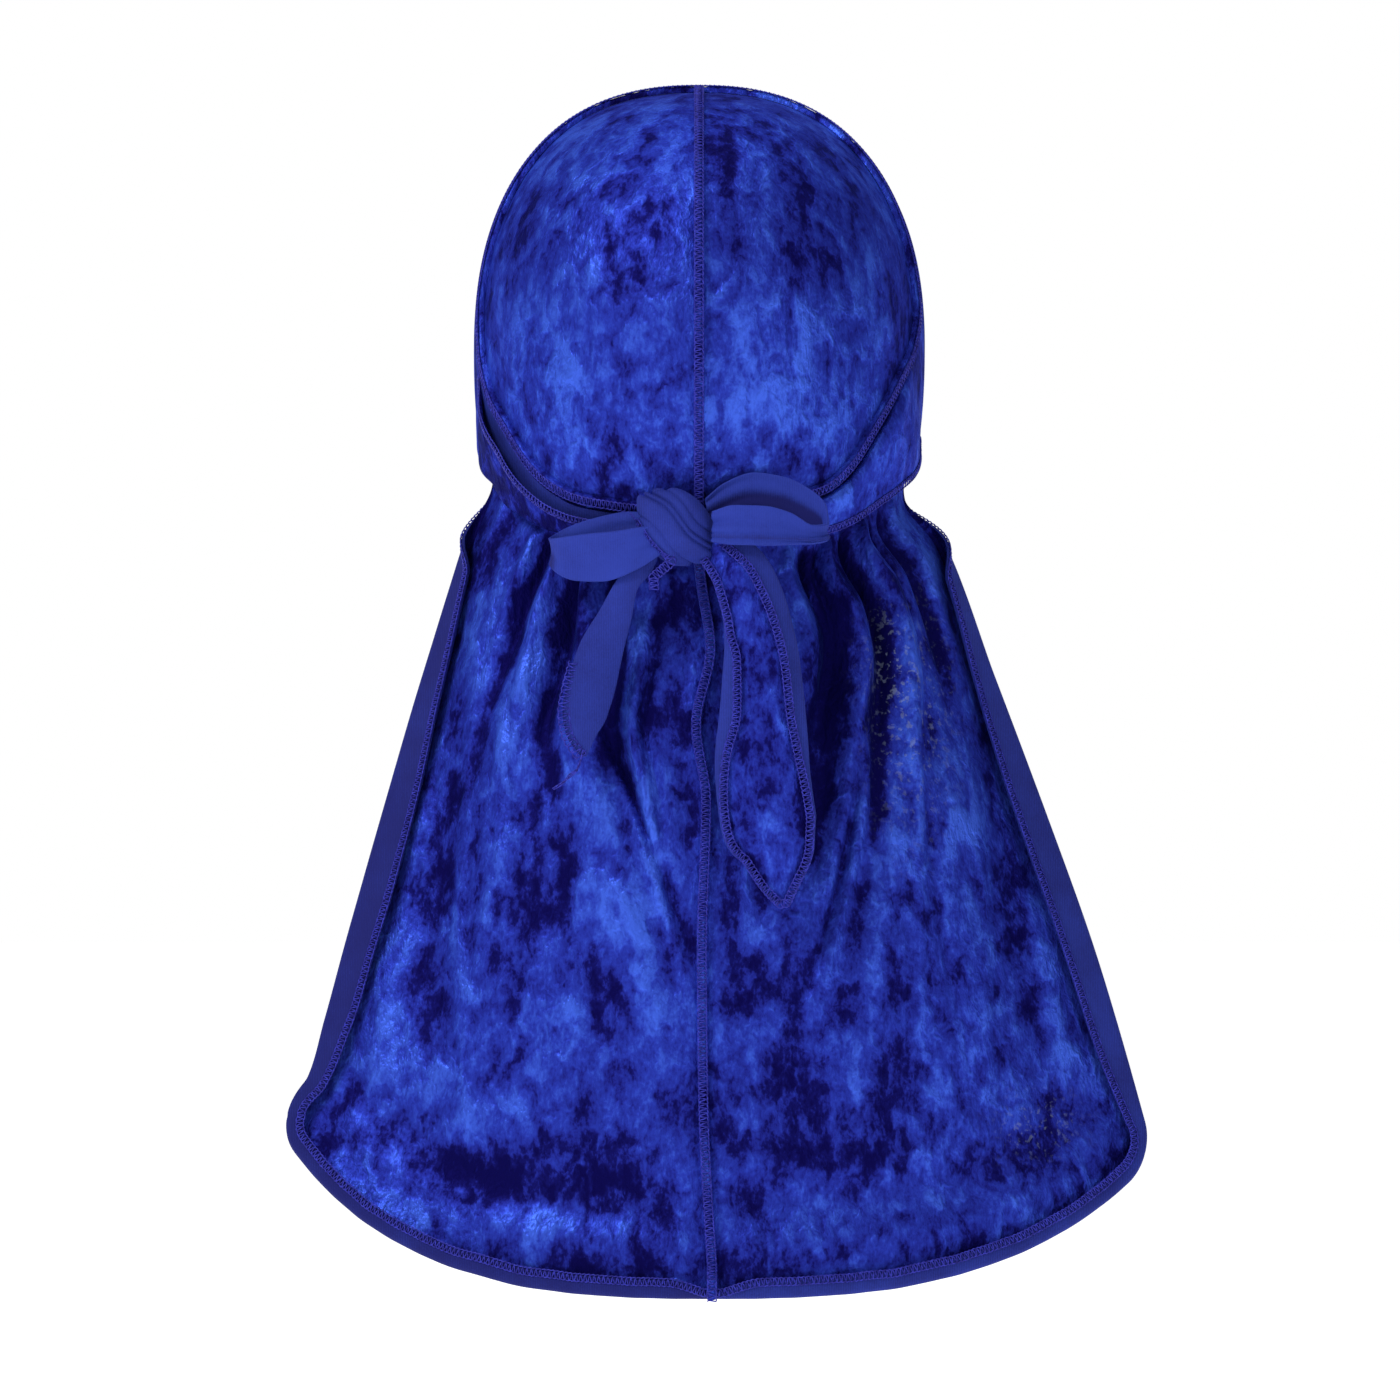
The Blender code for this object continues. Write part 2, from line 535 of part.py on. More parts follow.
def knot_points(grow):
    """The knot's surface, a leaning egg under slanting creases: both poles, then rings of points."""
    latitude = np.pi * (np.arange(KNOT_ROWS) + 0.5) / KNOT_ROWS
    longitude = 2 * np.pi * np.arange(KNOT_COLUMNS) / KNOT_COLUMNS
    ring, turn = np.meshgrid(latitude, longitude, indexing="ij")
    x = np.sin(ring) * np.cos(turn)
    y = np.sin(ring) * np.sin(turn)
    z = np.cos(ring)
    slant = x * np.cos(CREASE_ANGLE) + z * np.sin(CREASE_ANGLE)
    wrap = 1 + CREASE_DEPTH * np.cos(CREASES * slant) * np.where(y > 0, 1, BACK_CREASE_SHARE)
    half = np.array(KNOT_HALF) + grow
    shape = np.stack([x + KNOT_LEAN * z, y, z], axis=-1) * wrap[..., None] * half
    poles = np.array([[KNOT_LEAN, 0, 1], [-KNOT_LEAN, 0, -1]]) * half
    return knot_centre() + np.vstack([poles, shape.reshape(-1, 3)])


def ribbon_grid(centres, widths, ways, bows, outward, columns):
    """A ribbon's points: at each centre, across its width, bowed along the outward directions."""
    across = np.linspace(-0.5, 0.5, columns)
    line = centres[:, None, :] + ways[:, None, :] * (widths[:, None] * across)[..., None]
    hump = (1 - 4 * across**2)[None, :] * (bows * widths)[:, None]
    return line + outward[:, None, :] * hump[..., None]


def evenly_followed(rows, count):
    """Each column of a table at this many even steps through its rows."""
    return follow(np.column_stack([np.linspace(0, 1, len(rows)), rows]), np.linspace(0, 1, count)).T


def loop_grid(side):
    """One loop of the bow: out from the knot along the near arm and back along the far one."""
    width = LOOP_WIDTH[side]
    reach, back, down, wide = evenly_followed(LOOP_ROWS[side], LOOP_STEPS)
    x = SIDES[side] * reach * LOOP_REACH[side]
    knot = knot_centre()
    centres = np.column_stack([x, knot[1] + back * width, knot[2] - down * width])
    up = np.tile([0.0, 0.0, 1.0], (LOOP_STEPS, 1))
    out = unit(np.column_stack([x, centres[:, 1] - knot[1], 0 * x]))
    grid = ribbon_grid(centres, wide * width, up, 0 * x, out, LOOP_COLUMNS)
    return grid if side == "left" else grid[:, ::-1]


def tail_grid(side):
    """One free strap end, hanging from the knot in front of the cape."""
    length = TAIL_LENGTH[side]
    down, left, back, wide, bow = evenly_followed(TAIL_ROWS[side], TAIL_STEPS)
    centres = knot_centre() + np.column_stack([left, back, -down]) * length
    along = unit(np.gradient(centres, axis=0))
    out = np.tile([0.0, 1.0, 0.0], (TAIL_STEPS, 1))
    return ribbon_grid(centres, wide * TAIL_WIDTH[side], unit(np.cross(out, along)), bow, out, TAIL_COLUMNS)


def add_material(name, color):
    material = bpy.data.materials.new(name)
    material.use_nodes = True
    shader = material.node_tree.nodes["Principled BSDF"]
    shader.inputs["Base Color"].default_value = (*color, 1)
    shader.inputs["Roughness"].default_value = ROUGHNESS
    shader.inputs["Metallic"].default_value = 0
    return material


def add_object(name, points, faces, color):
    """A smooth-shaded object with its own material, from points and faces."""
    mesh = bpy.data.meshes.new(name)
    mesh.from_pydata([tuple(p) for p in points], [], faces)
    mesh.validate()
    mesh.shade_smooth()
    item = bpy.data.objects.new(name, mesh)
    bpy.context.scene.collection.objects.link(item)
    mesh.materials.append(add_material(name, color))
    return item


def add_solid(name, points, faces, color):
    """A closed body with its faces pointing out."""
    item = add_object(name, points, faces, color)
    body = bmesh.new()
    body.from_mesh(item.data)
    bmesh.ops.recalc_face_normals(body, faces=body.faces)
    body.to_mesh(item.data)
    body.free()
    return item


def add_cloth(name, points, faces, color):
    """A cloth sheet: the middle surface, thickened evenly to both sides."""
    item = add_object(name, points, faces, color)
    thicken = item.modifiers.new("Cloth", "SOLIDIFY")
    thicken.thickness = CLOTH
    thicken.offset = 0
    return item


def grid_faces(rows, columns, first=0):
    """Faces between neighbouring rows and columns of points stored row after row."""
    faces = []
    for row in range(rows - 1):
        for column in range(columns - 1):
            corner = first + row * columns + column
            faces.append((corner, corner + 1, corner + columns + 1, corner + columns))
    return faces


def facing(faces, side):
    """Faces turned round on the right, where the grid is mirrored."""
    return faces if SIDES[side] > 0 else [face[::-1] for face in faces]


def add_panel(side):
    grid = panel_grid(side)
    rows, columns = grid.shape[:2]
    points = list(grid.reshape(-1, 3))
    faces = grid_faces(rows, columns)
    edge = [row * columns + columns - 1 for row in range(CROWN_ROWS - 1, rows)]
    edge += [(rows - 1) * columns + column for column in range(columns - 2, -1, -1)]
    previous = edge
    for row in panel_border(grid, side):
        current = list(range(len(points), len(points) + len(row)))
        points.extend(row)
        for k in range(len(row) - 1):
            faces.append((previous[k], current[k], current[k + 1], previous[k + 1]))
        previous = current
    return add_cloth(f"{side}_panel", points, facing(faces, side), VELVET)


def add_sheet(name, grid, color):
    """A cloth piece from a plain grid of points."""
    rows, columns = grid.shape[:2]
    return add_cloth(name, list(grid.reshape(-1, 3)), grid_faces(rows, columns), color)


def add_strap(side):
    return add_sheet(f"{side}_strap", strap_grid(side), VELVET)


def add_ridge(name, path, normal, color):
    """A low rounded seam along a path, standing on the side its normals point to."""
    across = unit(np.cross(unit(np.gradient(path, axis=0)), normal))
    rings = [path + across * (SEAM_WIDTH * a) + normal * (SEAM_HEIGHT * b) for a, b in SEAM_PROFILE]
    points = np.stack(rings, axis=1).reshape(-1, 3)
    size = len(SEAM_PROFILE)
    count = len(path)
    faces = []
    for k in range(count - 1):
        for j in range(size):
            a = k * size + j
            b = k * size + (j + 1) % size
            faces.append((a, a + size, b + size, b))
    faces.append(tuple(range(size)))
    faces.append(tuple(range((count - 1) * size, count * size)))
    return add_solid(name, points, faces, color)


def knot_mesh(name, grow):
    last = 2 + (KNOT_ROWS - 1) * KNOT_COLUMNS
    faces = []
    for j in range(KNOT_COLUMNS):
        k = (j + 1) % KNOT_COLUMNS
        faces.append((0, 2 + j, 2 + k))
        faces.append((1, last + k, last + j))
        for a in range(2, last, KNOT_COLUMNS):
            faces.append((a + j, a + KNOT_COLUMNS + j, a + KNOT_COLUMNS + k, a + k))
    return add_solid(name, knot_points(grow), faces, KNIT)


def knot_cutter():
    """The knot grown by the gap, which trims the cloth that runs into it."""
    cutter = knot_mesh("knot_room", GAP)
    cutter.hide_render = True
    cutter.display_type = "WIRE"
    return cutter


def trim(item, cutter):
    cut = item.modifiers.new("Knot room", "BOOLEAN")
    cut.operation = "DIFFERENCE"
    cut.solver = "EXACT"
    cut.object = cutter


def clear_scene():
    for item in list(bpy.data.objects):
        bpy.data.objects.remove(item, do_unlink=True)


def main():
    clear_scene()
    for side in SIDES:
        add_panel(side)
    add_ridge("centre_seam", *centre_seam_path(panel_grid("left"), panel_grid("right")), THREAD)
    add_sheet("front_band", band_grid(), VELVET)
    add_ridge("front_seam", *front_seam_path(), THREAD)
    knot_mesh("knot", 0)
    cutter = knot_cutter()
    for side in SIDES:
        strap = add_strap(side)
        loop = add_sheet(f"{side}_loop", loop_grid(side), KNIT)
        tail = add_sheet(f"{side}_tail", tail_grid(side), TAIL_COLOR[side])
        for item in (strap, loop, tail):
            trim(item, cutter)


main()
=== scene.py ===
"""The looks of the velvet durag: finely folded cloth, overlock stitching, materials, light and camera.

Metres, +Z up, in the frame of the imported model. The shape functions and their tables are the part's own,
followed here in finer steps with finer folds. Only the panels' front edge, the crown's top and the start of
the straps reach a little further, so that no light shows under the front seam.
"""

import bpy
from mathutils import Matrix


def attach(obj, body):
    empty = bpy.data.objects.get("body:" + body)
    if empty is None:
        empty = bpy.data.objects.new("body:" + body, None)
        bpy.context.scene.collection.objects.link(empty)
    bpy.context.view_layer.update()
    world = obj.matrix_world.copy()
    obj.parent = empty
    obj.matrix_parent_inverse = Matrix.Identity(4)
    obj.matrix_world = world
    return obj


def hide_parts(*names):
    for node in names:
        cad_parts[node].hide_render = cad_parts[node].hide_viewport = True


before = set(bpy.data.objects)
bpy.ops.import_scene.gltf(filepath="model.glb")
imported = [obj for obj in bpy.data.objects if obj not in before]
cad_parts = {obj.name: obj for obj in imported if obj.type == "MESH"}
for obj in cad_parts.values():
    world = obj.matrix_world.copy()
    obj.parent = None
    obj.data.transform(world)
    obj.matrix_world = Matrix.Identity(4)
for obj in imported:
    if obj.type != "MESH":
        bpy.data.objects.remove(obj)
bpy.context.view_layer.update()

import bpy
import numpy as np
from mathutils import Vector

MM = 0.001

# Head room inside the crown
HEAD_HALF_BREADTH = 77.0 * MM
HEAD_BACK = 96.0 * MM
HEAD_FRONT = 93.0 * MM
CROWN_HEIGHT = 90.0 * MM
LOWER_HEIGHT = 110.0 * MM
HEAD_SQUARENESS = 2.33

# Cloth
CLOTH = 1.2 * MM
GAP = 0.3 * MM
LAYER_GAP = 0.5 * MM
FOLD_RADIUS = 1.9 * MM
HEM_ROLL = 4.0 * MM

# Crown and cape
NAPE_DEPTH = 153.0 * MM
PANEL_ANGLE = np.radians(76.0)
STRAP_CLEARANCE = 4.0 * MM
HEM_DEPTH = 419.0 * MM
CORNER_RISE = {"left": 59.0 * MM, "right": 46.0 * MM}
HEM_CURVE = {"left": 2.85, "right": 2.6}
CAPE_HALF_WIDTH = 150.0 * MM
CAPE_BACK = 106.0 * MM
CORNER_REACH = 56.0 * MM
SIDE_FOLD = 13.0 * MM
CORNER_SHARE = (0.07, 0.045)
FOLD_HEIGHT = 6.0 * MM
SEAM_DRIFT = 5.0 * MM

# How far round from the very top the crown's rows start, in radians, and how its columns crowd to the side
CROWN_TOP_TURN = 0.002
EDGE_CROWDING = 1.15

# Shares down the cape over which the crown still holds its top and the centre seam starts to drift
HOLD_SHARE = 0.10
SWAY_START = 0.05

# How early and how sharply a fold swells, and the share beside each edge of a panel where the folds fade
SWELL_LEAN = 0.6
SWELL_SHARPNESS = 1.2
QUIET_EDGE = 0.10

# Shares of the side edge over which its fold opens and of the hem over which its roll fades at the centre
# seam, the least share of a turn, and the least length beyond a turn
SIDE_FOLD_OPENS = 0.16
HEM_ROLL_FADES = 0.08
LEAST_TURN = 0.06
LEAST_FLAT = 0.4 * MM

# Seams
SEAM_WIDTH = 4.0 * MM
SEAM_HEIGHT = 2.2 * MM
SEAM_ROOM = 3.2 * MM

# Where the front seam ends beside the knot, as a depth share, and how far the layers on the head stand off it
FRONT_SEAM_END = 0.95
OVER_LIFT = 1.5 * CLOTH + LAYER_GAP

# How far a strap's fold is open where it starts, and the share of the strap over which it opens fully
STRAP_OPEN_AT_START = 0.15
STRAP_OPENS = 0.30

# Bow
KNOT_SIDE = 8.0 * MM
KNOT_STANDOFF = 11.2 * MM
KNOT_HALF = (12.8 * MM, 9.5 * MM, 13.8 * MM)
KNOT_LEAN = 0.36
CREASE_ANGLE = np.radians(-41.0)
CREASE_DEPTH = 0.05
CREASES = 6.0
BACK_CREASE_SHARE = 0.4
LOOP_REACH = {"left": 52.0 * MM, "right": 45.0 * MM}
LOOP_WIDTH = {"left": 17.0 * MM, "right": 14.0 * MM}
TAIL_LENGTH = {"left": 80.0 * MM, "right": 131.0 * MM}
TAIL_WIDTH = {"left": 16.5 * MM, "right": 31.0 * MM}

# Mesh steps
LINE_STEPS = 200
CROWN_ROWS = 96
CAPE_ROWS = 230
PANEL_COLUMNS = 104
TURN_STEPS = 8
FLAT_STEPS = 7
BAND_ROWS = 110
BAND_COLUMNS = 50
STRAP_ROWS = 150
STRAP_COLUMNS = 24
SEAM_ROWS = 220
KNOT_ROWS = 110
KNOT_COLUMNS = 160
LOOP_STEPS = 130
LOOP_COLUMNS = 28
TAIL_STEPS = 150
TAIL_COLUMNS = 36

SIDES = {"left": 1.0, "right": -1.0}
BACKWARD = np.array([0.0, 1.0, 0.0])

# The front seam down one side: depth as a share of the nape depth, angle in degrees round from the back
SEAM_LINE = {
    "left": ((0.0, 86), (0.15, 78), (0.30, 77), (0.47, 77), (0.60, 74), (0.68, 69), (0.77, 59), (0.87, 48),
             (0.925, 36), (0.945, 22), (0.955, 10)),
    "right": ((0.0, 86), (0.15, 78), (0.30, 77), (0.47, 77), (0.58, 71), (0.66, 62), (0.76, 52), (0.86, 43),
              (0.905, 36), (0.93, 24), (0.945, 8)),
}

# The panel's front edge, under the seam and the band: depth as a share of the nape depth, angle in degrees
PANEL_EDGE = ((0.0, 188), (0.00025, 184), (0.0009, 142), (0.0036, 114), (0.012, 102), (0.04, 95), (0.15, 88),
              (0.30, 86.5), (0.45, 87), (0.55, 93), (0.72, 93), (1.0, 76))

# Where the band ends and the straps start: depth share on the seam, angle on the lower edge
BAND_END = {"seam": 0.62, "edge": 88}
STRAP_START = {"seam": 0.617, "edge": 88.4}
STRAP_END = {"seam": 0.955, "edge": 9}
FOREHEAD = 180

# Strip of the strap's reverse side left showing beyond its outer layer: share along the strap, share of its
# height
STRAP_STRIP = {
    "left": ((0.0, 0.10), (0.4, 0.22), (0.75, 0.44), (1.0, 0.70)),
    "right": ((0.0, 0.04), (0.4, 0.10), (0.75, 0.24), (1.0, 0.36)),
}

# The lower edge of the band and strap: angle in degrees round from the back, depth share
LOWER_EDGE = {
    "left": ((8, 1.02), (34, 1.005), (44, 0.995), (52, 0.975), (62, 0.94), (68, 0.895), (77, 0.85),
             (88, 0.80), (100, 0.745), (120, 0.65), (150, 0.53), (168, 0.485), (180, 0.48)),
    "right": ((8, 1.02), (38, 1.0), (49, 0.965), (59, 0.925), (69, 0.885), (79, 0.85), (88, 0.80),
              (100, 0.74), (120, 0.65), (150, 0.53), (168, 0.485), (180, 0.48)),
}

# The cape: share down it, half width, depth of the centre and of the edge behind the head, arc in degrees
CAPE_SECTIONS = {
    "left": ((0.0, 0.475, 0.790, 0.34, 76), (0.03, 0.485, 0.792, 0.37, 76), (0.1, 0.530, 0.800, 0.44, 74),
             (0.3, 0.628, 0.850, 0.58, 68), (0.5, 0.717, 0.895, 0.70, 62), (0.7, 0.803, 0.935, 0.82, 57),
             (0.85, 0.865, 0.965, 0.90, 53), (0.94, 0.905, 0.985, 0.96, 51), (1.0, 0.990, 1.0, 1.0, 50)),
    "right": ((0.0, 0.475, 0.790, 0.34, 76), (0.03, 0.478, 0.792, 0.37, 76), (0.1, 0.560, 0.800, 0.44, 74),
              (0.3, 0.682, 0.850, 0.58, 68), (0.5, 0.801, 0.895, 0.70, 62), (0.7, 0.914, 0.935, 0.82, 57),
              (0.85, 0.986, 0.965, 0.90, 53), (1.0, 1.052, 1.0, 1.0, 50)),
}

# Sideways drift of the centre seam: share down the cape, share of SEAM_DRIFT towards the left
SEAM_SWAY = (
    (0.0, 0.3), (0.08, -0.2), (0.16, -0.8), (0.26, 0.2), (0.36, -0.5), (0.55, -0.2), (0.75, -0.3),
    (1.0, -1.0),
)

# Cape folds: place across the panel at the top and bottom of the fold, shares down the cape where it starts
# and ends, width as a share of the panel, height as a share of FOLD_HEIGHT
CAPE_FOLDS = {
    "left": ((0.79, 0.88, 0.0, 0.60, 0.070, 0.35), (0.66, 0.72, 0.0, 0.42, 0.040, -0.45),
             (0.58, 0.60, 0.0, 0.50, 0.050, 0.50), (0.50, 0.48, 0.0, 0.40, 0.040, -0.55),
             (0.42, 0.28, 0.0, 0.62, 0.055, 0.60), (0.33, 0.20, 0.02, 0.46, 0.045, -0.50),
             (0.24, 0.08, 0.08, 0.55, 0.045, 0.55), (0.36, 0.02, 0.20, 0.80, 0.050, 0.45),
             (0.70, 0.40, 0.15, 0.95, 0.110, 0.45), (0.88, 0.66, 0.20, 1.0, 0.090, -0.30)),
    "right": ((0.86, 0.78, 0.0, 0.45, 0.040, -0.35), (0.74, 0.58, 0.0, 0.48, 0.050, 0.55),
              (0.63, 0.48, 0.0, 0.40, 0.038, -0.60), (0.60, 0.20, 0.0, 0.66, 0.045, 0.60),
              (0.48, 0.27, 0.0, 0.46, 0.060, -0.85), (0.25, 0.10, 0.05, 0.60, 0.060, 0.40),
              (0.66, 0.22, 0.14, 0.98, 0.075, 0.50), (0.80, 0.46, 0.20, 1.0, 0.110, 0.45),
              (0.92, 0.72, 0.30, 1.0, 0.090, -0.30)),
}

# Folded-back side edge: share down the cape, share of SIDE_FOLD
SIDE_FOLD_ROWS = ((0.0, 0.02), (0.08, 0.10), (0.16, 0.65), (0.5, 1.0), (0.8, 0.85), (1.0, 0.30))

# Rolls that run across above the hem: share down the cape, height share, half height as a share of the cape
HEM_WAVES = ((0.88, -0.30, 0.035), (0.94, 0.30, 0.030))

# Loops, from the knot out along the near arm and back: share of the reach, then offsets back and down from
# the knot as shares of the loop width, and the width share
LOOP_ROWS = {
    "left": ((0.20, 0.25, 0.20, 0.50), (0.42, 0.30, 0.46, 0.86), (0.64, 0.10, 0.62, 1.0),
             (0.84, -0.25, 0.64, 0.92), (0.96, -0.60, 0.58, 0.70), (1.0, -0.88, 0.50, 0.55),
             (0.93, -1.05, 0.42, 0.66), (0.74, -0.84, 0.26, 0.80), (0.48, -0.46, 0.06, 0.72),
             (0.25, -0.20, 0.0, 0.45)),
    "right": ((0.10, 0.50, 0.0, 0.75), (0.28, 0.78, -0.04, 0.98), (0.50, 0.80, -0.02, 0.98),
              (0.70, 0.68, 0.05, 0.80), (0.88, 0.50, 0.20, 0.46), (1.0, 0.12, 0.12, 0.42),
              (0.98, -0.22, -0.14, 0.80), (0.86, -0.40, -0.44, 0.98), (0.66, -0.50, -0.74, 1.0),
              (0.42, -0.46, -0.86, 0.98), (0.20, -0.34, -0.66, 0.88), (0.05, -0.20, -0.40, 0.62)),
}

# Tails, from the knot down: share of the length, offsets to the wearer's left and back from the knot as
# shares of the length, width share, bow of the cross-section as a share of the width
TAIL_ROWS = {
    "left": ((0.05, 0.09, 0.03, 0.30, 0.0), (0.17, 0.13, 0.03, 0.32, 0.05), (0.25, 0.21, 0.02, 0.45, 0.10),
             (0.40, 0.27, -0.01, 0.70, 0.12), (0.55, 0.33, -0.03, 0.92, 0.12), (0.70, 0.37, -0.02, 1.0, 0.10),
             (0.80, 0.395, -0.01, 0.96, 0.08), (0.90, 0.41, 0.0, 0.66, 0.05), (1.0, 0.40, 0.0, 0.12, 0.0)),
    "right": ((0.04, -0.10, 0.02, 0.42, 0.0), (0.13, -0.175, 0.045, 0.60, 0.12),
              (0.25, -0.215, 0.04, 0.68, 0.16), (0.36, -0.228, 0.04, 0.78, 0.16),
              (0.50, -0.23, 0.05, 0.90, 0.14), (0.62, -0.228, 0.05, 0.98, 0.12),
              (0.78, -0.245, 0.05, 1.0, 0.10), (0.87, -0.268, 0.05, 0.76, 0.08),
              (0.94, -0.275, 0.05, 0.44, 0.04), (1.0, -0.285, 0.05, 0.08, 0.0)),
}


def follow(rows, share):
    """Each column of a table at these shares of its first column, on one smooth curve without overshoot."""
    table = np.array(rows, float)
    steps = np.diff(table[:, 0])[:, None]
    slopes = np.diff(table[:, 1:], axis=0) / steps
    same_way = slopes[:-1] * slopes[1:] > 0
    sums = np.where(same_way, slopes[:-1] + slopes[1:], 1)
    middle = np.where(same_way, 2 * slopes[:-1] * slopes[1:] / sums, 0)
    tangents = np.vstack([slopes[:1], middle, slopes[-1:]])
    share = np.clip(share, table[0, 0], table[-1, 0])
    row = np.clip(np.searchsorted(table[:, 0], share, side="right") - 1, 0, len(steps) - 1)
    step = steps[row]
    t = (share[..., None] - table[row, :1]) / step
    start = (1 + 2 * t) * (1 - t) ** 2 * table[row, 1:] + t * (1 - t) ** 2 * step * tangents[row]
    end = t * t * (3 - 2 * t) * table[row + 1, 1:] + t * t * (t - 1) * step * tangents[row + 1]
    return start + end


def smoothstep(t):
    t = np.clip(t, 0, 1)
    return t * t * (3 - 2 * t)


def unit(vectors):
    return vectors / np.linalg.norm(vectors, axis=-1, keepdims=True)


def head_radii(points):
    """The head's three half sizes on the side of its widest section where each point lies."""
    back = np.where(points[..., 1] > 0, HEAD_BACK, HEAD_FRONT)
    height = np.where(points[..., 2] > 0, CROWN_HEIGHT, LOWER_HEIGHT)
    return HEAD_HALF_BREADTH, back, height


def on_head(directions, lift):
    """Points this far off the head's surface, in these directions from the middle of its widest section."""
    breadth, back, height = head_radii(directions)
    flat = np.hypot(directions[..., 0] / breadth, directions[..., 1] / back)
    up = np.abs(directions[..., 2]) / height
    reach = (flat**HEAD_SQUARENESS + up**HEAD_SQUARENESS) ** (-1 / HEAD_SQUARENESS)
    points = directions * reach[..., None]
    round_part = np.hypot(points[..., 0] / breadth, points[..., 1] / back) ** (HEAD_SQUARENESS - 2)
    normals = np.stack(
        [
            round_part * points[..., 0] / breadth**2,
            round_part * points[..., 1] / back**2,
            np.sign(points[..., 2]) * up_share(points, height) / height,
        ],
        axis=-1,
    )
    points = points + unit(normals) * np.asarray(lift)[..., None]
    return points - np.array([0, 0, CROWN_HEIGHT])


def up_share(points, height):
    return (np.abs(points[..., 2]) / height) ** (HEAD_SQUARENESS - 1)


def head_direction(angle, depth):
    """The direction of the head's point at this angle round from the back and this depth below its top."""
    height = np.where(depth < CROWN_HEIGHT, CROWN_HEIGHT, LOWER_HEIGHT)
    up = CROWN_HEIGHT - depth
    flat = np.maximum(1 - (np.abs(up) / height) ** HEAD_SQUARENESS, 1e-6) ** (1 / HEAD_SQUARENESS)
    back = np.where(np.cos(angle) > 0, HEAD_BACK, HEAD_FRONT)
    across = HEAD_HALF_BREADTH * flat * np.sin(angle)
    return np.stack([across, back * flat * np.cos(angle), up], axis=-1)


def arc_between(first, second, share):
    """Directions on the shortest way round the head from one set of directions to another."""
    first = unit(first)
    second = unit(second)
    angle = np.arccos(np.clip((first * second).sum(-1), -1, 1))[..., None]
    share = np.asarray(share)[..., None]
    return (np.sin((1 - share) * angle) * first + np.sin(share * angle) * second) / np.sin(angle)


def line_length(points):
    return np.linalg.norm(np.diff(points, axis=0), axis=1).sum()


def spaced(values, path, count):
    """Values held at the points of a path, at this many even places along it."""
    lengths = np.concatenate([[0], np.cumsum(np.linalg.norm(np.diff(path, axis=0), axis=1))])
    places = np.linspace(0, lengths[-1], count)
    return np.stack([np.interp(places, lengths, values[:, axis]) for axis in range(3)], axis=1)


def evenly(points, count):
    """This many points, evenly spaced along a line of points."""
    return spaced(points, points, count)


def mirrored(points, side):
    return points * np.array([SIDES[side], 1, 1])


def seam_directions(side, start, end, count):
    """Evenly spaced directions along one side's front seam, for its +X form, between two depth shares."""
    shares = np.linspace(start**0.5, end**0.5, LINE_STEPS) ** 2
    angles = np.radians(follow(SEAM_LINE[side], shares)[:, 0])
    return evenly(head_direction(angles, shares * NAPE_DEPTH), count)


def edge_directions(side, start, end, count):
    """Evenly spaced directions along the lower edge of the band and strap, between two angles in degrees."""
    angles = np.linspace(start, end, LINE_STEPS)
    depths = follow(LOWER_EDGE[side], angles)[:, 0] * NAPE_DEPTH
    return evenly(head_direction(np.radians(angles), depths), count)


def cape_line_depth(side, angle):
    """Depth at which the cape leaves the head, just below the strap."""
    return follow(LOWER_EDGE[side], np.degrees(angle))[..., 0] * NAPE_DEPTH + STRAP_CLEARANCE


def sheet_normals(grid):
    along = np.gradient(grid, axis=0)
    across = np.gradient(grid, axis=1)
    return unit(np.cross(along, across))


def fold_line(top, bottom, start, end, down):
    """The share along a fold and the fold's place across the panel, at shares down the cape."""
    place = np.clip((down - start) / (end - start), 0, 1)
    return place, top + (bottom - top) * place


def fold_heights(side, across, down):
    """How far the cape's folds stand off its smooth section, at shares across and down it."""
    height = np.zeros_like(across)
    for top, bottom, start, end, width, rise in CAPE_FOLDS[side]:
        place, centre = fold_line(top, bottom, start, end, down)
        swell = np.sin(np.pi * place**SWELL_LEAN) ** SWELL_SHARPNESS
        height += rise * swell * np.exp(-(((across - centre) / width) ** 2))
    for place, rise, half in HEM_WAVES:
        height += rise * np.exp(-(((down - place) / half) ** 2)) * (1 - 0.5 * across)
    quiet_edges = smoothstep(across / QUIET_EDGE) * smoothstep((1.0 - across) / QUIET_EDGE)
    return FOLD_HEIGHT * height * quiet_edges


def crown_points(side, across, share):
    """The half of the crown on one side, from the top of the head at share 0 to the strap's lower edge."""
    line = cape_line_depth(side, PANEL_ANGLE * across)
    deepest = np.pi - np.arccos(((line - CROWN_HEIGHT) / LOWER_HEIGHT) ** (HEAD_SQUARENESS / 2))
    turn = CROWN_TOP_TURN + (deepest - CROWN_TOP_TURN) * share
    height = np.where(turn < np.pi / 2, CROWN_HEIGHT, LOWER_HEIGHT)
    up = np.sign(np.cos(turn)) * height * np.abs(np.cos(turn)) ** (2 / HEAD_SQUARENESS)
    edge = np.radians(follow(PANEL_EDGE, (CROWN_HEIGHT - up) / NAPE_DEPTH)[..., 0])
    angle = across * (edge + (PANEL_ANGLE - edge) * share)
    return on_head(head_direction(angle, CROWN_HEIGHT - up), np.full(across.shape, CLOTH / 2))


def cape_section(side, across, down):
    """A smooth cape point: an arc of an ellipse at each share down the cape."""
    half, centre, edge, arc = np.moveaxis(follow(CAPE_SECTIONS[side], down), -1, 0)
    arc = np.radians(arc)
    turn = arc * across
    x = (half * CAPE_HALF_WIDTH - FOLD_RADIUS) * np.sin(turn) / np.sin(arc)
    drop = (1 - np.cos(turn)) / (1 - np.cos(arc))
    y = CAPE_BACK * centre - (CAPE_BACK * centre - CORNER_REACH * edge) * drop
    return x, y


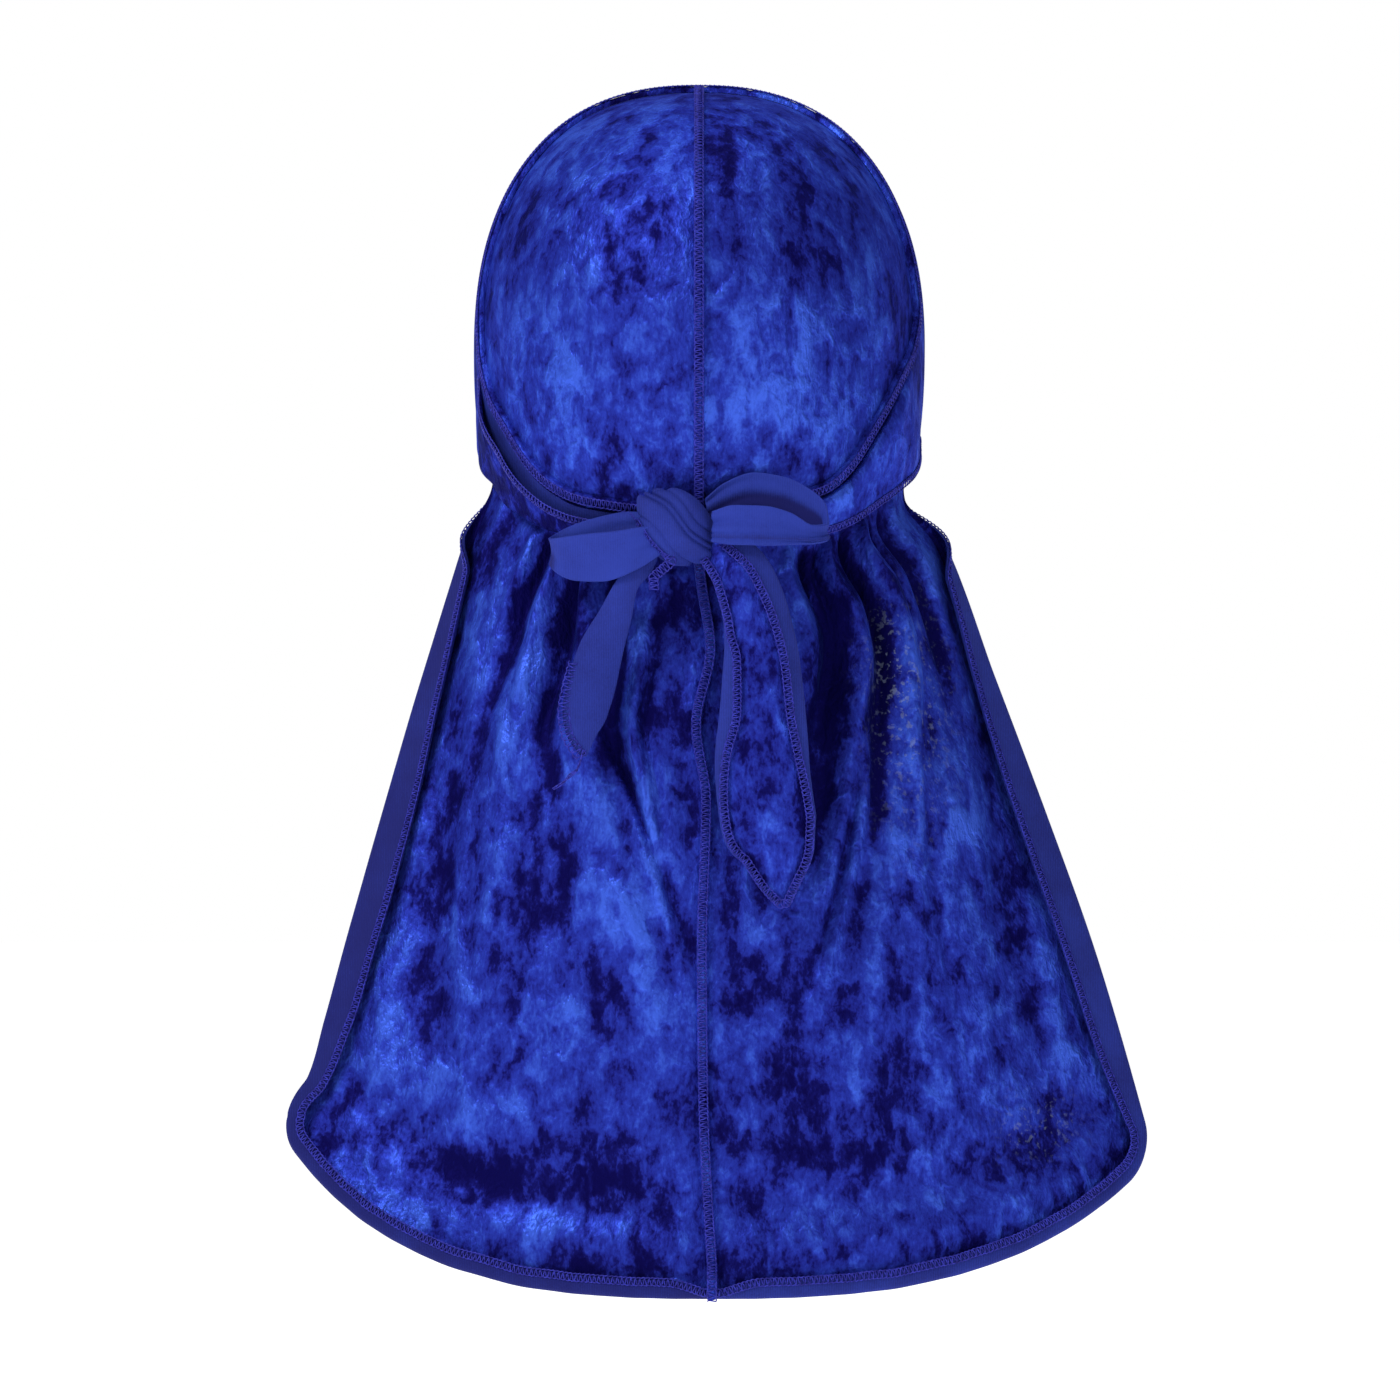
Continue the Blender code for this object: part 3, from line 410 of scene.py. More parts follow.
def cape_points(side, across, down):
    """The half of the cape on one side, hung from the lower edge of the crown."""
    start = crown_points(side, across, np.ones_like(across))
    hem = HEM_DEPTH - CORNER_RISE[side] * across ** HEM_CURVE[side]
    z = start[..., 2] + down * (-hem - start[..., 2])
    x, y = cape_section(side, across, down)
    x0, y0 = cape_section(side, across, np.zeros_like(down))
    held = np.exp(-((down / HOLD_SHARE) ** 2))
    x = x + (start[..., 0] - x0) * held
    y = y + (start[..., 1] - y0) * held
    return np.stack([x, y, z], axis=-1)


def rounded_corner(across, down):
    """Shares moved so that the panel's lower outer corner is round."""
    wide, tall = CORNER_SHARE
    a = np.clip((across - 1 + wide) / wide, 0, 1)
    b = np.clip((down - 1 + tall) / tall, 0, 1)
    across = np.where(a > 0, 1 - wide + wide * a * np.sqrt(1 - b * b / 2), across)
    down = np.where(b > 0, 1 - tall + tall * b * np.sqrt(1 - a * a / 2), down)
    return across, down


def centre_sway(z):
    """Sideways drift of the cape with the centre seam, at these heights."""
    down = np.clip((-z - NAPE_DEPTH) / (HEM_DEPTH - NAPE_DEPTH), 0, 1)
    return SEAM_DRIFT * follow(SEAM_SWAY, down)[..., 0] * smoothstep(down / SWAY_START)


def hold_at_centre(grid, side, across):
    """The panel moved with the centre seam's drift, less towards its side edge, and half the gap off it."""
    grid[..., 0] += centre_sway(grid[..., 2]) * (1 - smoothstep(across)) + SIDES[side] * GAP / 2
    return grid


def border_ring(grid, side):
    """The panel's side edge below the strap, then its hem, with the way out of the sheet and its normal."""
    normals = sheet_normals(grid) * -SIDES[side]
    first = CROWN_ROWS - 1
    edge = np.vstack([grid[first:, -1], grid[-1, -2::-1]])
    normal = np.vstack([normals[first:, -1], normals[-1, -2::-1]])
    along = unit(np.gradient(edge, axis=0))
    outward = unit(np.cross(along, normal)) * SIDES[side]
    side_count = len(grid) - first
    return edge, outward, unit(normal), side_count


def rolled_edge(edge, outward, normal, turn, flat):
    """Rows of points that carry a sheet's edge round a turn, then on over the sheet by the flat lengths."""
    rows = []
    for step in range(1, TURN_STEPS + 1):
        angle = turn * step / TURN_STEPS
        out = np.sin(angle) * FOLD_RADIUS
        up = (1 - np.cos(angle)) * FOLD_RADIUS
        rows.append(edge + outward * out[:, None] + normal * up[:, None])
    way = np.cos(turn)[:, None] * outward + np.sin(turn)[:, None] * normal
    for step in range(1, FLAT_STEPS + 1):
        rows.append(rows[TURN_STEPS - 1] + way * (flat * step / FLAT_STEPS)[:, None])
    return rows


def panel_border(grid, side):
    edge, outward, normal, side_count = border_ring(grid, side)
    place = np.arange(len(edge)) / (side_count - 1)
    on_side = place <= 1
    opened = smoothstep(place / SIDE_FOLD_OPENS)
    widths = follow(SIDE_FOLD_ROWS, np.minimum(place, 1))[:, 0]
    flat = np.where(on_side, SIDE_FOLD * widths, HEM_ROLL)
    turn = np.where(on_side, np.pi * np.maximum(opened, LEAST_TURN), np.pi)
    last = smoothstep((place[-1] - place) / (place[-1] - 1) / HEM_ROLL_FADES)
    flat = np.maximum(flat * np.where(on_side, 1, last), LEAST_FLAT)
    return rolled_edge(edge, outward, normal, turn, flat)


def band_grid():
    """Middle of the band's cloth: rows from behind one ear over the forehead, columns down from the seam."""
    halves = []
    for side in SIDES:
        seam = seam_directions(side, 0.0, BAND_END["seam"], BAND_ROWS)
        edge = edge_directions(side, FOREHEAD, BAND_END["edge"], BAND_ROWS)
        room = SEAM_ROOM / np.linalg.norm(seam - edge, axis=-1)[:, None]
        share = room + (1 - room) * np.linspace(0, 1, BAND_COLUMNS)
        way = arc_between(seam[:, None, :], edge[:, None, :], share)
        halves.append(mirrored(on_head(way, np.full(share.shape, OVER_LIFT)), side))
    left, right = halves
    return np.vstack([left[:0:-1], (left[:1] + right[:1]) / 2, right[1:]])


def strap_grid(side):
    """The strap folded lengthwise: the layer against the head, the turn, and the layer outside it."""
    seam = seam_directions(side, STRAP_START["seam"], STRAP_END["seam"], STRAP_ROWS)
    edge = edge_directions(side, STRAP_START["edge"], STRAP_END["edge"], STRAP_ROWS)
    along = np.linspace(0, 1, STRAP_ROWS)
    outer = OVER_LIFT + 2 * FOLD_RADIUS * smoothstep(STRAP_OPEN_AT_START + along / STRAP_OPENS)
    tall = np.linalg.norm(seam - edge, axis=-1)
    first = SEAM_ROOM / tall
    turn = FOLD_RADIUS / tall
    strip = follow(STRAP_STRIP[side], along)[:, 0]
    shares = [first + share * (1 - first - turn) for share in np.linspace(0, 1, STRAP_COLUMNS)]
    lifts = [np.full(STRAP_ROWS, OVER_LIFT)] * STRAP_COLUMNS
    for step in range(1, TURN_STEPS):
        angle = np.pi * step / TURN_STEPS
        shares.append(1 - turn + turn * np.sin(angle))
        lifts.append(OVER_LIFT + (outer - OVER_LIFT) * (1 - np.cos(angle)) / 2)
    for share in np.linspace(1, 0, STRAP_COLUMNS - 1):
        shares.append(first + (strip + (1 - strip) * share) * (1 - first - turn))
        lifts.append(outer)
    shares = np.stack(shares, axis=1)
    if side == "right":
        shares = 1 + first[:, None] - shares
    way = arc_between(seam[:, None, :], edge[:, None, :], shares)
    return mirrored(on_head(way, np.stack(lifts, axis=1)), side)


def front_seam_path():
    """The foot of the front seam from behind the left ear over to behind the right one, and its normals."""
    halves = []
    for side in SIDES:
        way = seam_directions(side, 0.0, FRONT_SEAM_END, SEAM_ROWS)
        foot = on_head(way, np.full(SEAM_ROWS, CLOTH + LAYER_GAP))
        raised = on_head(way, np.full(SEAM_ROWS, CLOTH + LAYER_GAP + MM))
        halves.append((mirrored(foot, side), mirrored(unit(raised - foot), side)))
    (left, left_up), (right, right_up) = halves
    path = np.vstack([left[:0:-1], (left[:1] + right[:1]) / 2, right[1:]])
    normal = np.vstack([left_up[:0:-1], unit(left_up[:1] + right_up[:1]), right_up[1:]])
    return path, unit(normal)


def started_at(rows, places, start):
    """Rows of points from where their places pass the start, with a first row set right on it."""
    first = np.argmax(places > start)
    share = (start - places[first - 1]) / (places[first] - places[first - 1])
    begun = rows[first - 1] + share * (rows[first] - rows[first - 1])
    return np.vstack([begun, rows[first:]])


def centre_seam_path(left, right):
    """The foot of the centre seam on both panels, from behind the front seam to above the hem's roll."""
    middle = (left[:, 0] + right[:, 0]) / 2
    normal = sheet_normals(np.stack([right[:, 1], middle, left[:, 1]], axis=1))[:, 1]
    normal[:, 0] = 0
    normal = unit(normal) * np.sign(normal[:, 1:2].mean())
    foot = middle + normal * (CLOTH / 2 + GAP)
    above_hem = middle[:, 2] > middle[-1, 2] + 2 * FOLD_RADIUS + HEM_ROLL + CLOTH
    places = middle[above_hem, 1]
    behind_front_seam = SEAM_WIDTH / 2 + 3 * GAP
    foot = started_at(foot[above_hem], places, behind_front_seam)
    return foot, unit(started_at(normal[above_hem], places, behind_front_seam))


def knot_centre():
    """The middle of the knot: off the back of the head where the straps end, at the nape's depth."""
    seat = on_head(head_direction(0.0, STRAP_END["seam"] * NAPE_DEPTH), 0.0)
    return np.array([KNOT_SIDE, seat[1] + KNOT_STANDOFF, -NAPE_DEPTH])


def knot_points(grow):
    """The knot's surface, a leaning egg under slanting creases: both poles, then rings of points."""
    latitude = np.pi * (np.arange(KNOT_ROWS) + 0.5) / KNOT_ROWS
    longitude = 2 * np.pi * np.arange(KNOT_COLUMNS) / KNOT_COLUMNS
    ring, turn = np.meshgrid(latitude, longitude, indexing="ij")
    x = np.sin(ring) * np.cos(turn)
    y = np.sin(ring) * np.sin(turn)
    z = np.cos(ring)
    slant = x * np.cos(CREASE_ANGLE) + z * np.sin(CREASE_ANGLE)
    wrap = 1 + CREASE_DEPTH * np.cos(CREASES * slant) * np.where(y > 0, 1, BACK_CREASE_SHARE)
    half = np.array(KNOT_HALF) + grow
    shape = np.stack([x + KNOT_LEAN * z, y, z], axis=-1) * wrap[..., None] * half
    poles = np.array([[KNOT_LEAN, 0, 1], [-KNOT_LEAN, 0, -1]]) * half
    return knot_centre() + np.vstack([poles, shape.reshape(-1, 3)])


def ribbon_grid(centres, widths, ways, bows, outward, columns):
    """A ribbon's points: at each centre, across its width, bowed along the outward directions."""
    across = np.linspace(-0.5, 0.5, columns)
    line = centres[:, None, :] + ways[:, None, :] * (widths[:, None] * across)[..., None]
    hump = (1 - 4 * across**2)[None, :] * (bows * widths)[:, None]
    return line + outward[:, None, :] * hump[..., None]


def evenly_followed(rows, count):
    """Each column of a table at this many even steps through its rows."""
    return follow(np.column_stack([np.linspace(0, 1, len(rows)), rows]), np.linspace(0, 1, count)).T


def loop_grid(side):
    """One loop of the bow: out from the knot along the near arm and back along the far one."""
    width = LOOP_WIDTH[side]
    reach, back, down, wide = evenly_followed(LOOP_ROWS[side], LOOP_STEPS)
    x = SIDES[side] * reach * LOOP_REACH[side]
    knot = knot_centre()
    centres = np.column_stack([x, knot[1] + back * width, knot[2] - down * width])
    up = np.tile([0.0, 0.0, 1.0], (LOOP_STEPS, 1))
    out = unit(np.column_stack([x, centres[:, 1] - knot[1], 0 * x]))
    grid = ribbon_grid(centres, wide * width, up, 0 * x, out, LOOP_COLUMNS)
    return grid if side == "left" else grid[:, ::-1]


def tail_grid(side):
    """One free strap end, hanging from the knot in front of the cape."""
    length = TAIL_LENGTH[side]
    down, left, back, wide, bow = evenly_followed(TAIL_ROWS[side], TAIL_STEPS)
    centres = knot_centre() + np.column_stack([left, back, -down]) * length
    along = unit(np.gradient(centres, axis=0))
    out = np.tile(BACKWARD, (TAIL_STEPS, 1))
    return ribbon_grid(centres, wide * TAIL_WIDTH[side], unit(np.cross(out, along)), bow, out, TAIL_COLUMNS)


# How far a fine fold wavers across the panel, how many radians that turns down the cape and from one fold's
# place to the next, how early, sharply and roundly it swells, and for a pleat that starts at the strap the
# share of the cape over which it rises and how high
FOLD_WAVER = 0.012
WAVER_TURN = 9
WAVER_SHIFT = 20
FINE_LEAN = 0.7
FINE_SHARPNESS = 1.1
FINE_ROUNDNESS = 1.5
PLEAT_RISES = 0.025
PLEAT_RISE = 1.25

# Crumple of the cape: height as a share of FOLD_HEIGHT, size and seed, the scale that draws it out down the
# cape, and the share over which it grows
CAPE_CRUMPLES = ((0.16, 16 * MM, 3), (0.07, 7 * MM, 4))
CAPE_DRAWN_OUT = np.array([1.0, 1.0, 0.45])
CRUMPLE_GROWS = 0.05

# Shares beside the centre seam and the side edge where the fine folds fade
QUIET_CENTRE = 0.04
QUIET_SIDE = 0.06

# Ridge of a seam: step along it, its width and its stitches' width as shares of the seam's, its points round,
# how round it is, and how high its lumps are and their size
RIDGE_STEP = 0.8 * MM
RIDGE_SHARE = 0.92
SEAM_STITCH_SHARE = 0.72
RIDGE_POINTS = 11
RIDGE_ROUNDNESS = 0.6
RIDGE_LUMPS = 0.10
RIDGE_LUMP_SIZE = 2.2 * MM

# The centre seam over the rolled hem: millimetres in from the roll's outside and up from its lower edge, and
# how much the seam faces back and up there
SEAM_OVER_HEM = ((1.0, 9.0, 1.0, 0.0), (0.0, 6.0, 1.0, 0.0), (0.0, 2.6, 1.0, -0.2), (1.9, 0.8, 0.4, -1.0))

# Uneven surface of the band, straps and tails: height, size of the bumps, seed, and the scale that draws them
# out downwards
BAND_BUMPS = (0.3 * MM, 24 * MM, 21)
STRAP_BUMPS = (0.6 * MM, 9 * MM, 31)
TAIL_BUMPS = (0.5 * MM, 11 * MM, 71)
BUMPS_DRAWN_OUT = np.array([1.0, 1.0, 0.6])

# Crown: height of the puckers beside its seams, how far they reach as a share of the panel, how far a row
# turns them in radians and the size of what shifts them, then height and size of the bumps between, and how
# sharply it all fades towards the strap
PUCKER_HEIGHT = 0.14 * MM
PUCKER_REACH = 0.05
PUCKER_TURN = 1.3
PUCKER_SHIFT_SIZE = 14 * MM
CROWN_BUMP = 0.25 * MM
CROWN_BUMP_SIZE = 26 * MM
CROWN_FADE = 0.3

# Threads
THREAD_RADIUS = 0.24 * MM
STITCH_STEP = 1.6 * MM
STITCH_WIDTH = 2.6 * MM

# Points of one stitch: how far across as a share of its half width, and how high as a share of the thread's
# radius
STITCH_POINTS = ((-1.0, 0.0), (-0.1, 1.0), (1.0, 0.2), (0.7, 0.5))

# How uneven the stitches are, as a share of their width, and over what length
UNEVEN_SHARE = 0.05
UNEVEN_SIZE = 3 * MM

# Overlocking on the panels' turned-over edge: first of the edge's points with a stitch, and how far in it
# lies as a share of its width
EDGE_STITCH_START = 6
EDGE_STITCH_INSET = 0.35

# Wide ladder of stitches on the left tail: share of the tail where it starts, width, step
LADDER_START = 0.55
LADDER_WIDTH = 3.8 * MM
LADDER_STEP = 2.2 * MM

# The picture's side at the object, its middle, and the camera's distance from it
PICTURE_SIDE = 490.0 * MM
PICTURE_MIDDLE = (-0.35 * MM, 60.0 * MM, -213.3 * MM)
CAMERA_DISTANCE = 6.0
SENSOR = 36.0
FLOOR_DEPTH = 470.0 * MM
FINE_CLOTH = 1.0 * MM

# Painted shade in the bottom of a fold and painted highlight along its ridge: how much darker and how much
# brighter
VALLEY_PAINTED_SHADE = 0.085
RIDGE_PAINTED_HIGHLIGHT = 0.030

# How deep a place lies in a fold, which sets the painted shade and highlight: times that the heights are
# evened out widely and narrowly, and the greatest difference between the two
DEPTH_SCALES = ((50, 3, 0.9 * MM), (400, 12, 1.4 * MM))

# Broad places of painted highlight and painted shade (the lit top of the crown, bands along the hem's rolls,
# under the bow) mixed with patches where the pile turns dark or lies bright, seen from behind, in
# millimetres: place to the left, depth below the top, half width, half height, and how much brighter
LIGHT_AND_PILE_SPOTS = (
    (8, 62, 90, 62, 0.020), (0, 235, 45, 50, -0.014), (20, 392, 110, 34, -0.010),
    (38, 22, 25, 15, 0.045), (17, 36, 12, 26, -0.030), (-30, 54, 18, 20, -0.040), (-8, 30, 7, 30, -0.045),
    (50, 97, 24, 26, 0.045), (-28, 108, 30, 22, 0.045), (14, 122, 12, 15, 0.035), (-68, 98, 8, 24, -0.045),
    (-51, 190, 8, 36, -0.080), (-66, 192, 4, 36, -0.075), (3, 176, 17, 19, -0.095), (7, 220, 15, 11, -0.055),
    (64, 174, 4, 22, -0.070), (52, 174, 4, 22, -0.080), (38, 190, 8, 20, -0.060), (72, 213, 12, 35, 0.030),
    (36, 248, 24, 30, 0.030), (-4, 318, 32, 26, -0.022), (-92, 265, 16, 45, 0.028), (-53, 372, 42, 8, -0.060),
    (60, 379, 45, 8, -0.060), (118, 370, 14, 14, -0.045), (35, 409, 48, 7, -0.050), (-60, 406, 38, 7, -0.045),
    (50, 393, 45, 5, 0.050), (-50, 389, 42, 5, 0.050), (72, 358, 30, 8, 0.032), (30, 333, 10, 8, -0.040),
    (8, 299, 12, 10, -0.035), (-110, 330, 14, 30, -0.020),
)

# Creases across the knot: place across its wraps, depth, half width, as shares of its half size
KNOT_CREASES = ((-0.66, 0.12, 0.05), (-0.34, 0.17, 0.05), (-0.14, 0.15, 0.04), (0.55, 0.10, 0.05))

# How the creases bend: by what share and over what turn; and the knot's size and bumps as shares of its own
KNOT_BEND = 0.10
KNOT_BEND_TURN = 2.2
KNOT_GROWTH = 1.03
KNOT_BUMP = 0.02
SMALL_BUMP_SIZE = 6 * MM

# Stitched edges around the knot, as places to the left and depths in millimetres seen from behind: the wrap's
# left edge on the knot, and the loose edge that hangs below it, this far behind the knot's middle
KNOT_EDGE = ((23.4, 148.5), (21.0, 151.5), (17.2, 157.2), (14.0, 160.8), (10.9, 163.8))
KNOT_EDGE_STEPS = 30
KNOT_EDGE_STITCHES = {"width": 2.0 * MM, "lift": 0.1 * MM, "step": 1.4 * MM}
LOOSE_EDGE = ((11.9, 160.0), (9.6, 165.4), (13.0, 168.2), (15.8, 170.6), (15.6, 175.0))
LOOSE_EDGE_STEPS = 60
LOOSE_EDGE_STITCHES = {"width": 3.0 * MM, "step": 1.5 * MM}
LOOSE_EDGE_BACK = 5 * MM

# The loose thread at the tip of the left tail, the same way, how far its strands part and over what length,
# and the seed of each strand
LOOSE_THREAD = ((39.8, 231.0), (41.3, 234.5), (42.6, 238.0), (46.0, 241.0), (50.5, 244.5))
LOOSE_THREAD_STEPS = 40
FRAY = 0.7 * MM
FRAY_SIZE = 4 * MM
STRAND_SEEDS = (81, 82, 83)

# Where the pile is worn grey, in the columns of the spots of painted light and pile, with how worn it is
WORN = ((-75, 222, 12, 34, 1), (-66, 200, 7, 16, 1), (-118, 362, 12, 10, 1))

# Plain edge strips folded over the outside of the right tail: share of its length, left and right strip as
# shares of its width
TAIL_STRIPS = ((0.0, 0.02, 0.36), (0.14, 0.02, 0.34), (0.24, 0.05, 0.26), (0.32, 0.16, 0.22),
               (0.44, 0.20, 0.17), (0.53, 0.12, 0.10), (0.64, 0.03, 0.03), (1.0, 0.02, 0.02))

# Fine folds of the cape, in the columns of CAPE_FOLDS
FINE_FOLDS = {
    "left": ((0.90, 0.95, 0.0, 0.30, 0.018, 0.20), (0.703, 0.76, 0.0, 0.30, 0.020, 0.40),
             (0.654, 0.69, 0.0, 0.26, 0.014, -0.40), (0.585, 0.58, 0.0, 0.34, 0.020, 0.40),
             (0.502, 0.49, 0.0, 0.34, 0.018, -0.50), (0.451, 0.38, 0.0, 0.36, 0.018, 0.40),
             (0.352, 0.25, 0.0, 0.30, 0.022, -0.45), (0.29, 0.22, 0.0, 0.26, 0.016, 0.25),
             (0.230, 0.09, 0.10, 0.52, 0.014, 0.55), (0.205, 0.07, 0.12, 0.50, 0.016, -0.50),
             (0.34, 0.01, 0.20, 0.62, 0.014, 0.55), (0.31, -0.01, 0.22, 0.60, 0.016, -0.50),
             (0.56, 0.22, 0.16, 0.86, 0.018, 0.20), (0.66, 0.42, 0.10, 0.75, 0.016, -0.20),
             (0.80, 0.55, 0.20, 0.95, 0.026, 0.16), (0.44, 0.66, 0.55, 1.0, 0.040, -0.18),
             (0.12, 0.16, 0.0, 0.26, 0.016, 0.22), (0.90, 0.86, 0.35, 1.0, 0.030, 0.14)),
    "right": ((0.90, 0.86, 0.0, 0.34, 0.016, 0.24), (0.83, 0.78, 0.0, 0.36, 0.016, -0.30),
              (0.752, 0.70, 0.0, 0.36, 0.014, -0.40), (0.693, 0.60, 0.0, 0.44, 0.018, 0.45),
              (0.629, 0.50, 0.0, 0.36, 0.018, -0.60), (0.562, 0.38, 0.0, 0.42, 0.016, 0.45),
              (0.531, 0.34, 0.0, 0.30, 0.012, -0.35), (0.504, 0.30, 0.0, 0.26, 0.012, 0.30),
              (0.457, 0.31, 0.0, 0.36, 0.022, -0.50), (0.36, 0.24, 0.0, 0.34, 0.018, 0.28),
              (0.50, 0.18, 0.24, 0.72, 0.016, 0.50), (0.47, 0.15, 0.26, 0.72, 0.016, -0.45),
              (0.70, 0.40, 0.16, 0.86, 0.018, 0.20), (0.62, 0.60, 0.30, 0.85, 0.018, -0.18),
              (0.84, 0.60, 0.20, 0.95, 0.026, 0.16), (0.42, 0.62, 0.55, 1.0, 0.040, -0.18),
              (0.20, 0.08, 0.02, 0.40, 0.016, 0.24), (0.90, 0.86, 0.35, 1.0, 0.030, 0.14)),
}


def cell_values(cells, seed):
    """A repeatable value from -1 to 1 for each whole-number cell."""
    mixed = cells[..., 0] * 73856093 ^ cells[..., 1] * 19349663 ^ cells[..., 2] * 83492791 ^ seed * 26544357
    mixed = (mixed ^ (mixed >> 13)) * 1274126177 & 0xFFFFFFFF
    mixed = mixed ^ (mixed >> 16)
    return (mixed & 0xFFFF) / 32767.5 - 1


def crumple(points, size, seed):
    """Smooth repeatable noise from -1 to 1 over points, with bumps of this size."""
    place = points / size
    cell = np.floor(place).astype(np.int64)
    t = smoothstep(place - cell)
    total = 0
    for corner in range(8):
        step = np.array([corner & 1, corner >> 1 & 1, corner >> 2 & 1])
        weight = np.prod(np.where(step == 1, t, 1 - t), axis=-1)
        total = total + weight * cell_values(cell + step, seed)
    return total


def blurred(field, times):
    """A field of rows and columns evened out with its neighbours."""
    for _ in range(times):
        padded = np.pad(field, 1, mode="edge")
        field = (padded[:-2, 1:-1] + padded[2:, 1:-1] + padded[1:-1, :-2] + padded[1:-1, 2:] + 4 * field) / 8
    return field


def fine_heights(side, across, down, smooth):
    """The cape's folds with the finer ones on top, and the crumple between them."""
    height = fold_heights(side, across, down) / FOLD_HEIGHT
    for top, bottom, start, end, width, rise in FINE_FOLDS[side]:
        place, centre = fold_line(top, bottom, start, end, down)
        centre = centre + FOLD_WAVER * np.sin(WAVER_TURN * down + WAVER_SHIFT * top)
        swell = np.sin(np.pi * place**FINE_LEAN) ** FINE_SHARPNESS
        if start == 0.0:
            swell = smoothstep(down / PLEAT_RISES) * (1 - smoothstep(place)) * PLEAT_RISE
        height += rise * swell * np.exp(-np.abs((across - centre) / width) ** FINE_ROUNDNESS)
    stretched = smooth * CAPE_DRAWN_OUT
    grown = smoothstep(down / CRUMPLE_GROWS)
    for rise, size, seed in CAPE_CRUMPLES:
        height += rise * crumple(stretched, size, seed) * grown
    edges = smoothstep(across / QUIET_CENTRE) * smoothstep((1.0 - across) / QUIET_SIDE)
    return FOLD_HEIGHT * height * edges


def spots(points, table):
    """The sum of a table's soft spots at these points of the durag's back half."""
    total = np.zeros(points.shape[:-1])
    for left, depth, half_width, half_height, rise in table:
        x = (points[..., 0] / MM - left) / half_width
        z = (-points[..., 2] / MM - depth) / half_height
        total += rise * np.exp(-(x * x + z * z))
    return total * (points[..., 1] > 0)


def crown_heights(across, points):
    """Slight unevenness of the stretched crown, with puckers along its two seams."""
    row = np.cumsum(np.ones(across.shape), axis=0)
    pucker = np.exp(-across / PUCKER_REACH) + np.exp(-(1 - across) / PUCKER_REACH)
    ripple = np.sin(row * PUCKER_TURN + 2 * crumple(points, PUCKER_SHIFT_SIZE, 7))
    return PUCKER_HEIGHT * ripple * pucker + CROWN_BUMP * crumple(points, CROWN_BUMP_SIZE, 8)


def fine_panel_grid(side):
    """Points of one panel with its fine folds, and the tone at each: painted light and shade with pile
    patches, painted shade in fold bottoms and painted highlight on ridges.
    """
    columns = 1 - (1 - np.linspace(0, 1, PANEL_COLUMNS)) ** EDGE_CROWDING
    across, share = np.meshgrid(columns, np.linspace(0, 1, CROWN_ROWS, endpoint=False))
    top = crown_points(side, across, share)
    top_height = crown_heights(across, top) * ((1 - share) ** CROWN_FADE)
    across, down = np.meshgrid(columns, np.linspace(0, 1, CAPE_ROWS))
    across, down = rounded_corner(across, down)
    smooth = cape_points(side, across, down)
    height = np.vstack([top_height, fine_heights(side, across, down, smooth)])
    top_normals = sheet_normals(top)
    top_normals[0] = top_normals[1]
    normals = np.vstack([top_normals, sheet_normals(smooth)])
    grid = np.vstack([top, smooth]) - normals * height[..., None]
    depth = 0
    for wide, narrow, deepest in DEPTH_SCALES:
        depth = depth + (blurred(height, wide) - blurred(height, narrow)) / deepest / len(DEPTH_SCALES)
    depth = np.clip(depth, -1, 1)
    grid = hold_at_centre(mirrored(grid, side), side, columns)
    # Tone: spots of painted light and shade with pile patches, painted shade in fold bottoms, painted
    # highlight on ridges
    return grid, spots(grid, LIGHT_AND_PILE_SPOTS) - VALLEY_PAINTED_SHADE * np.maximum(depth, 0) + RIDGE_PAINTED_HIGHLIGHT * np.maximum(-depth, 0)


def mesh_object(name, points, faces, materials):
    mesh = bpy.data.meshes.new(name)
    mesh.from_pydata(np.asarray(points).tolist(), [], faces)
    mesh.shade_smooth()
    for material in materials:
        mesh.materials.append(material)
    item = bpy.data.objects.new(name, mesh)
    bpy.context.scene.collection.objects.link(item)
    return item


def set_values(item, name, values):
    """One named number on each point, which a material reads."""
    layer = item.data.attributes.new(name, "FLOAT", "POINT")
    layer.data.foreach_set("value", np.asarray(values, np.float32))


def add_cloth(name, points, faces, materials, tones, thickness):
    """A thick sheet: the first material where its faces point, the second on its reverse and edges."""
    item = mesh_object(name, points, faces, materials)
    # Each point's tone: painted light and shade, and on the panels also pile patches
    set_values(item, "tone_with_painted_light", tones)
    thicken = item.modifiers.new("Cloth", "SOLIDIFY")
    thicken.thickness = thickness
    thicken.offset = 0
    thicken.use_rim = True
    thicken.material_offset = 1
    thicken.material_offset_rim = 1
    return item


def grid_faces(rows, columns):
    """Faces between neighbouring rows and columns of points stored row after row."""
    corner = (np.arange(rows - 1)[:, None] * columns + np.arange(columns - 1)).reshape(-1, 1)
    return (corner + np.array([0, 1, columns + 1, columns])).tolist()


def tube_mesh(lines, radius, sides=5):
    """Points and faces of round threads along lines of points."""
    turn = 2 * np.pi * np.arange(sides) / sides
    points = []
    faces = []
    first = 0
    for line in lines:
        along = unit(np.gradient(line, axis=0) + 1e-12)
        helper = np.where(np.abs(along[:, 1:2]) < 0.9, [[0.0, 1.0, 0.0]], [[1.0, 0.0, 0.0]])
        a = unit(np.cross(along, helper))
        b = np.cross(along, a)
        ring = a[:, None] * np.cos(turn)[:, None] + b[:, None] * np.sin(turn)[:, None]
        points.append((line[:, None] + radius * ring).reshape(-1, 3))
        k = np.arange(len(line) - 1)[:, None] * sides + first
        j = np.arange(sides)
        n = (j + 1) % sides
        quads = np.stack([k + j, k + n, k + sides + n, k + sides + j], axis=-1)
        faces.extend(quads.reshape(-1, 4).tolist())
        last = first + (len(line) - 1) * sides
        faces.append([first + side for side in reversed(range(sides))])
        faces.append([last + side for side in range(sides)])
        first += len(line) * sides
    return np.vstack(points), faces


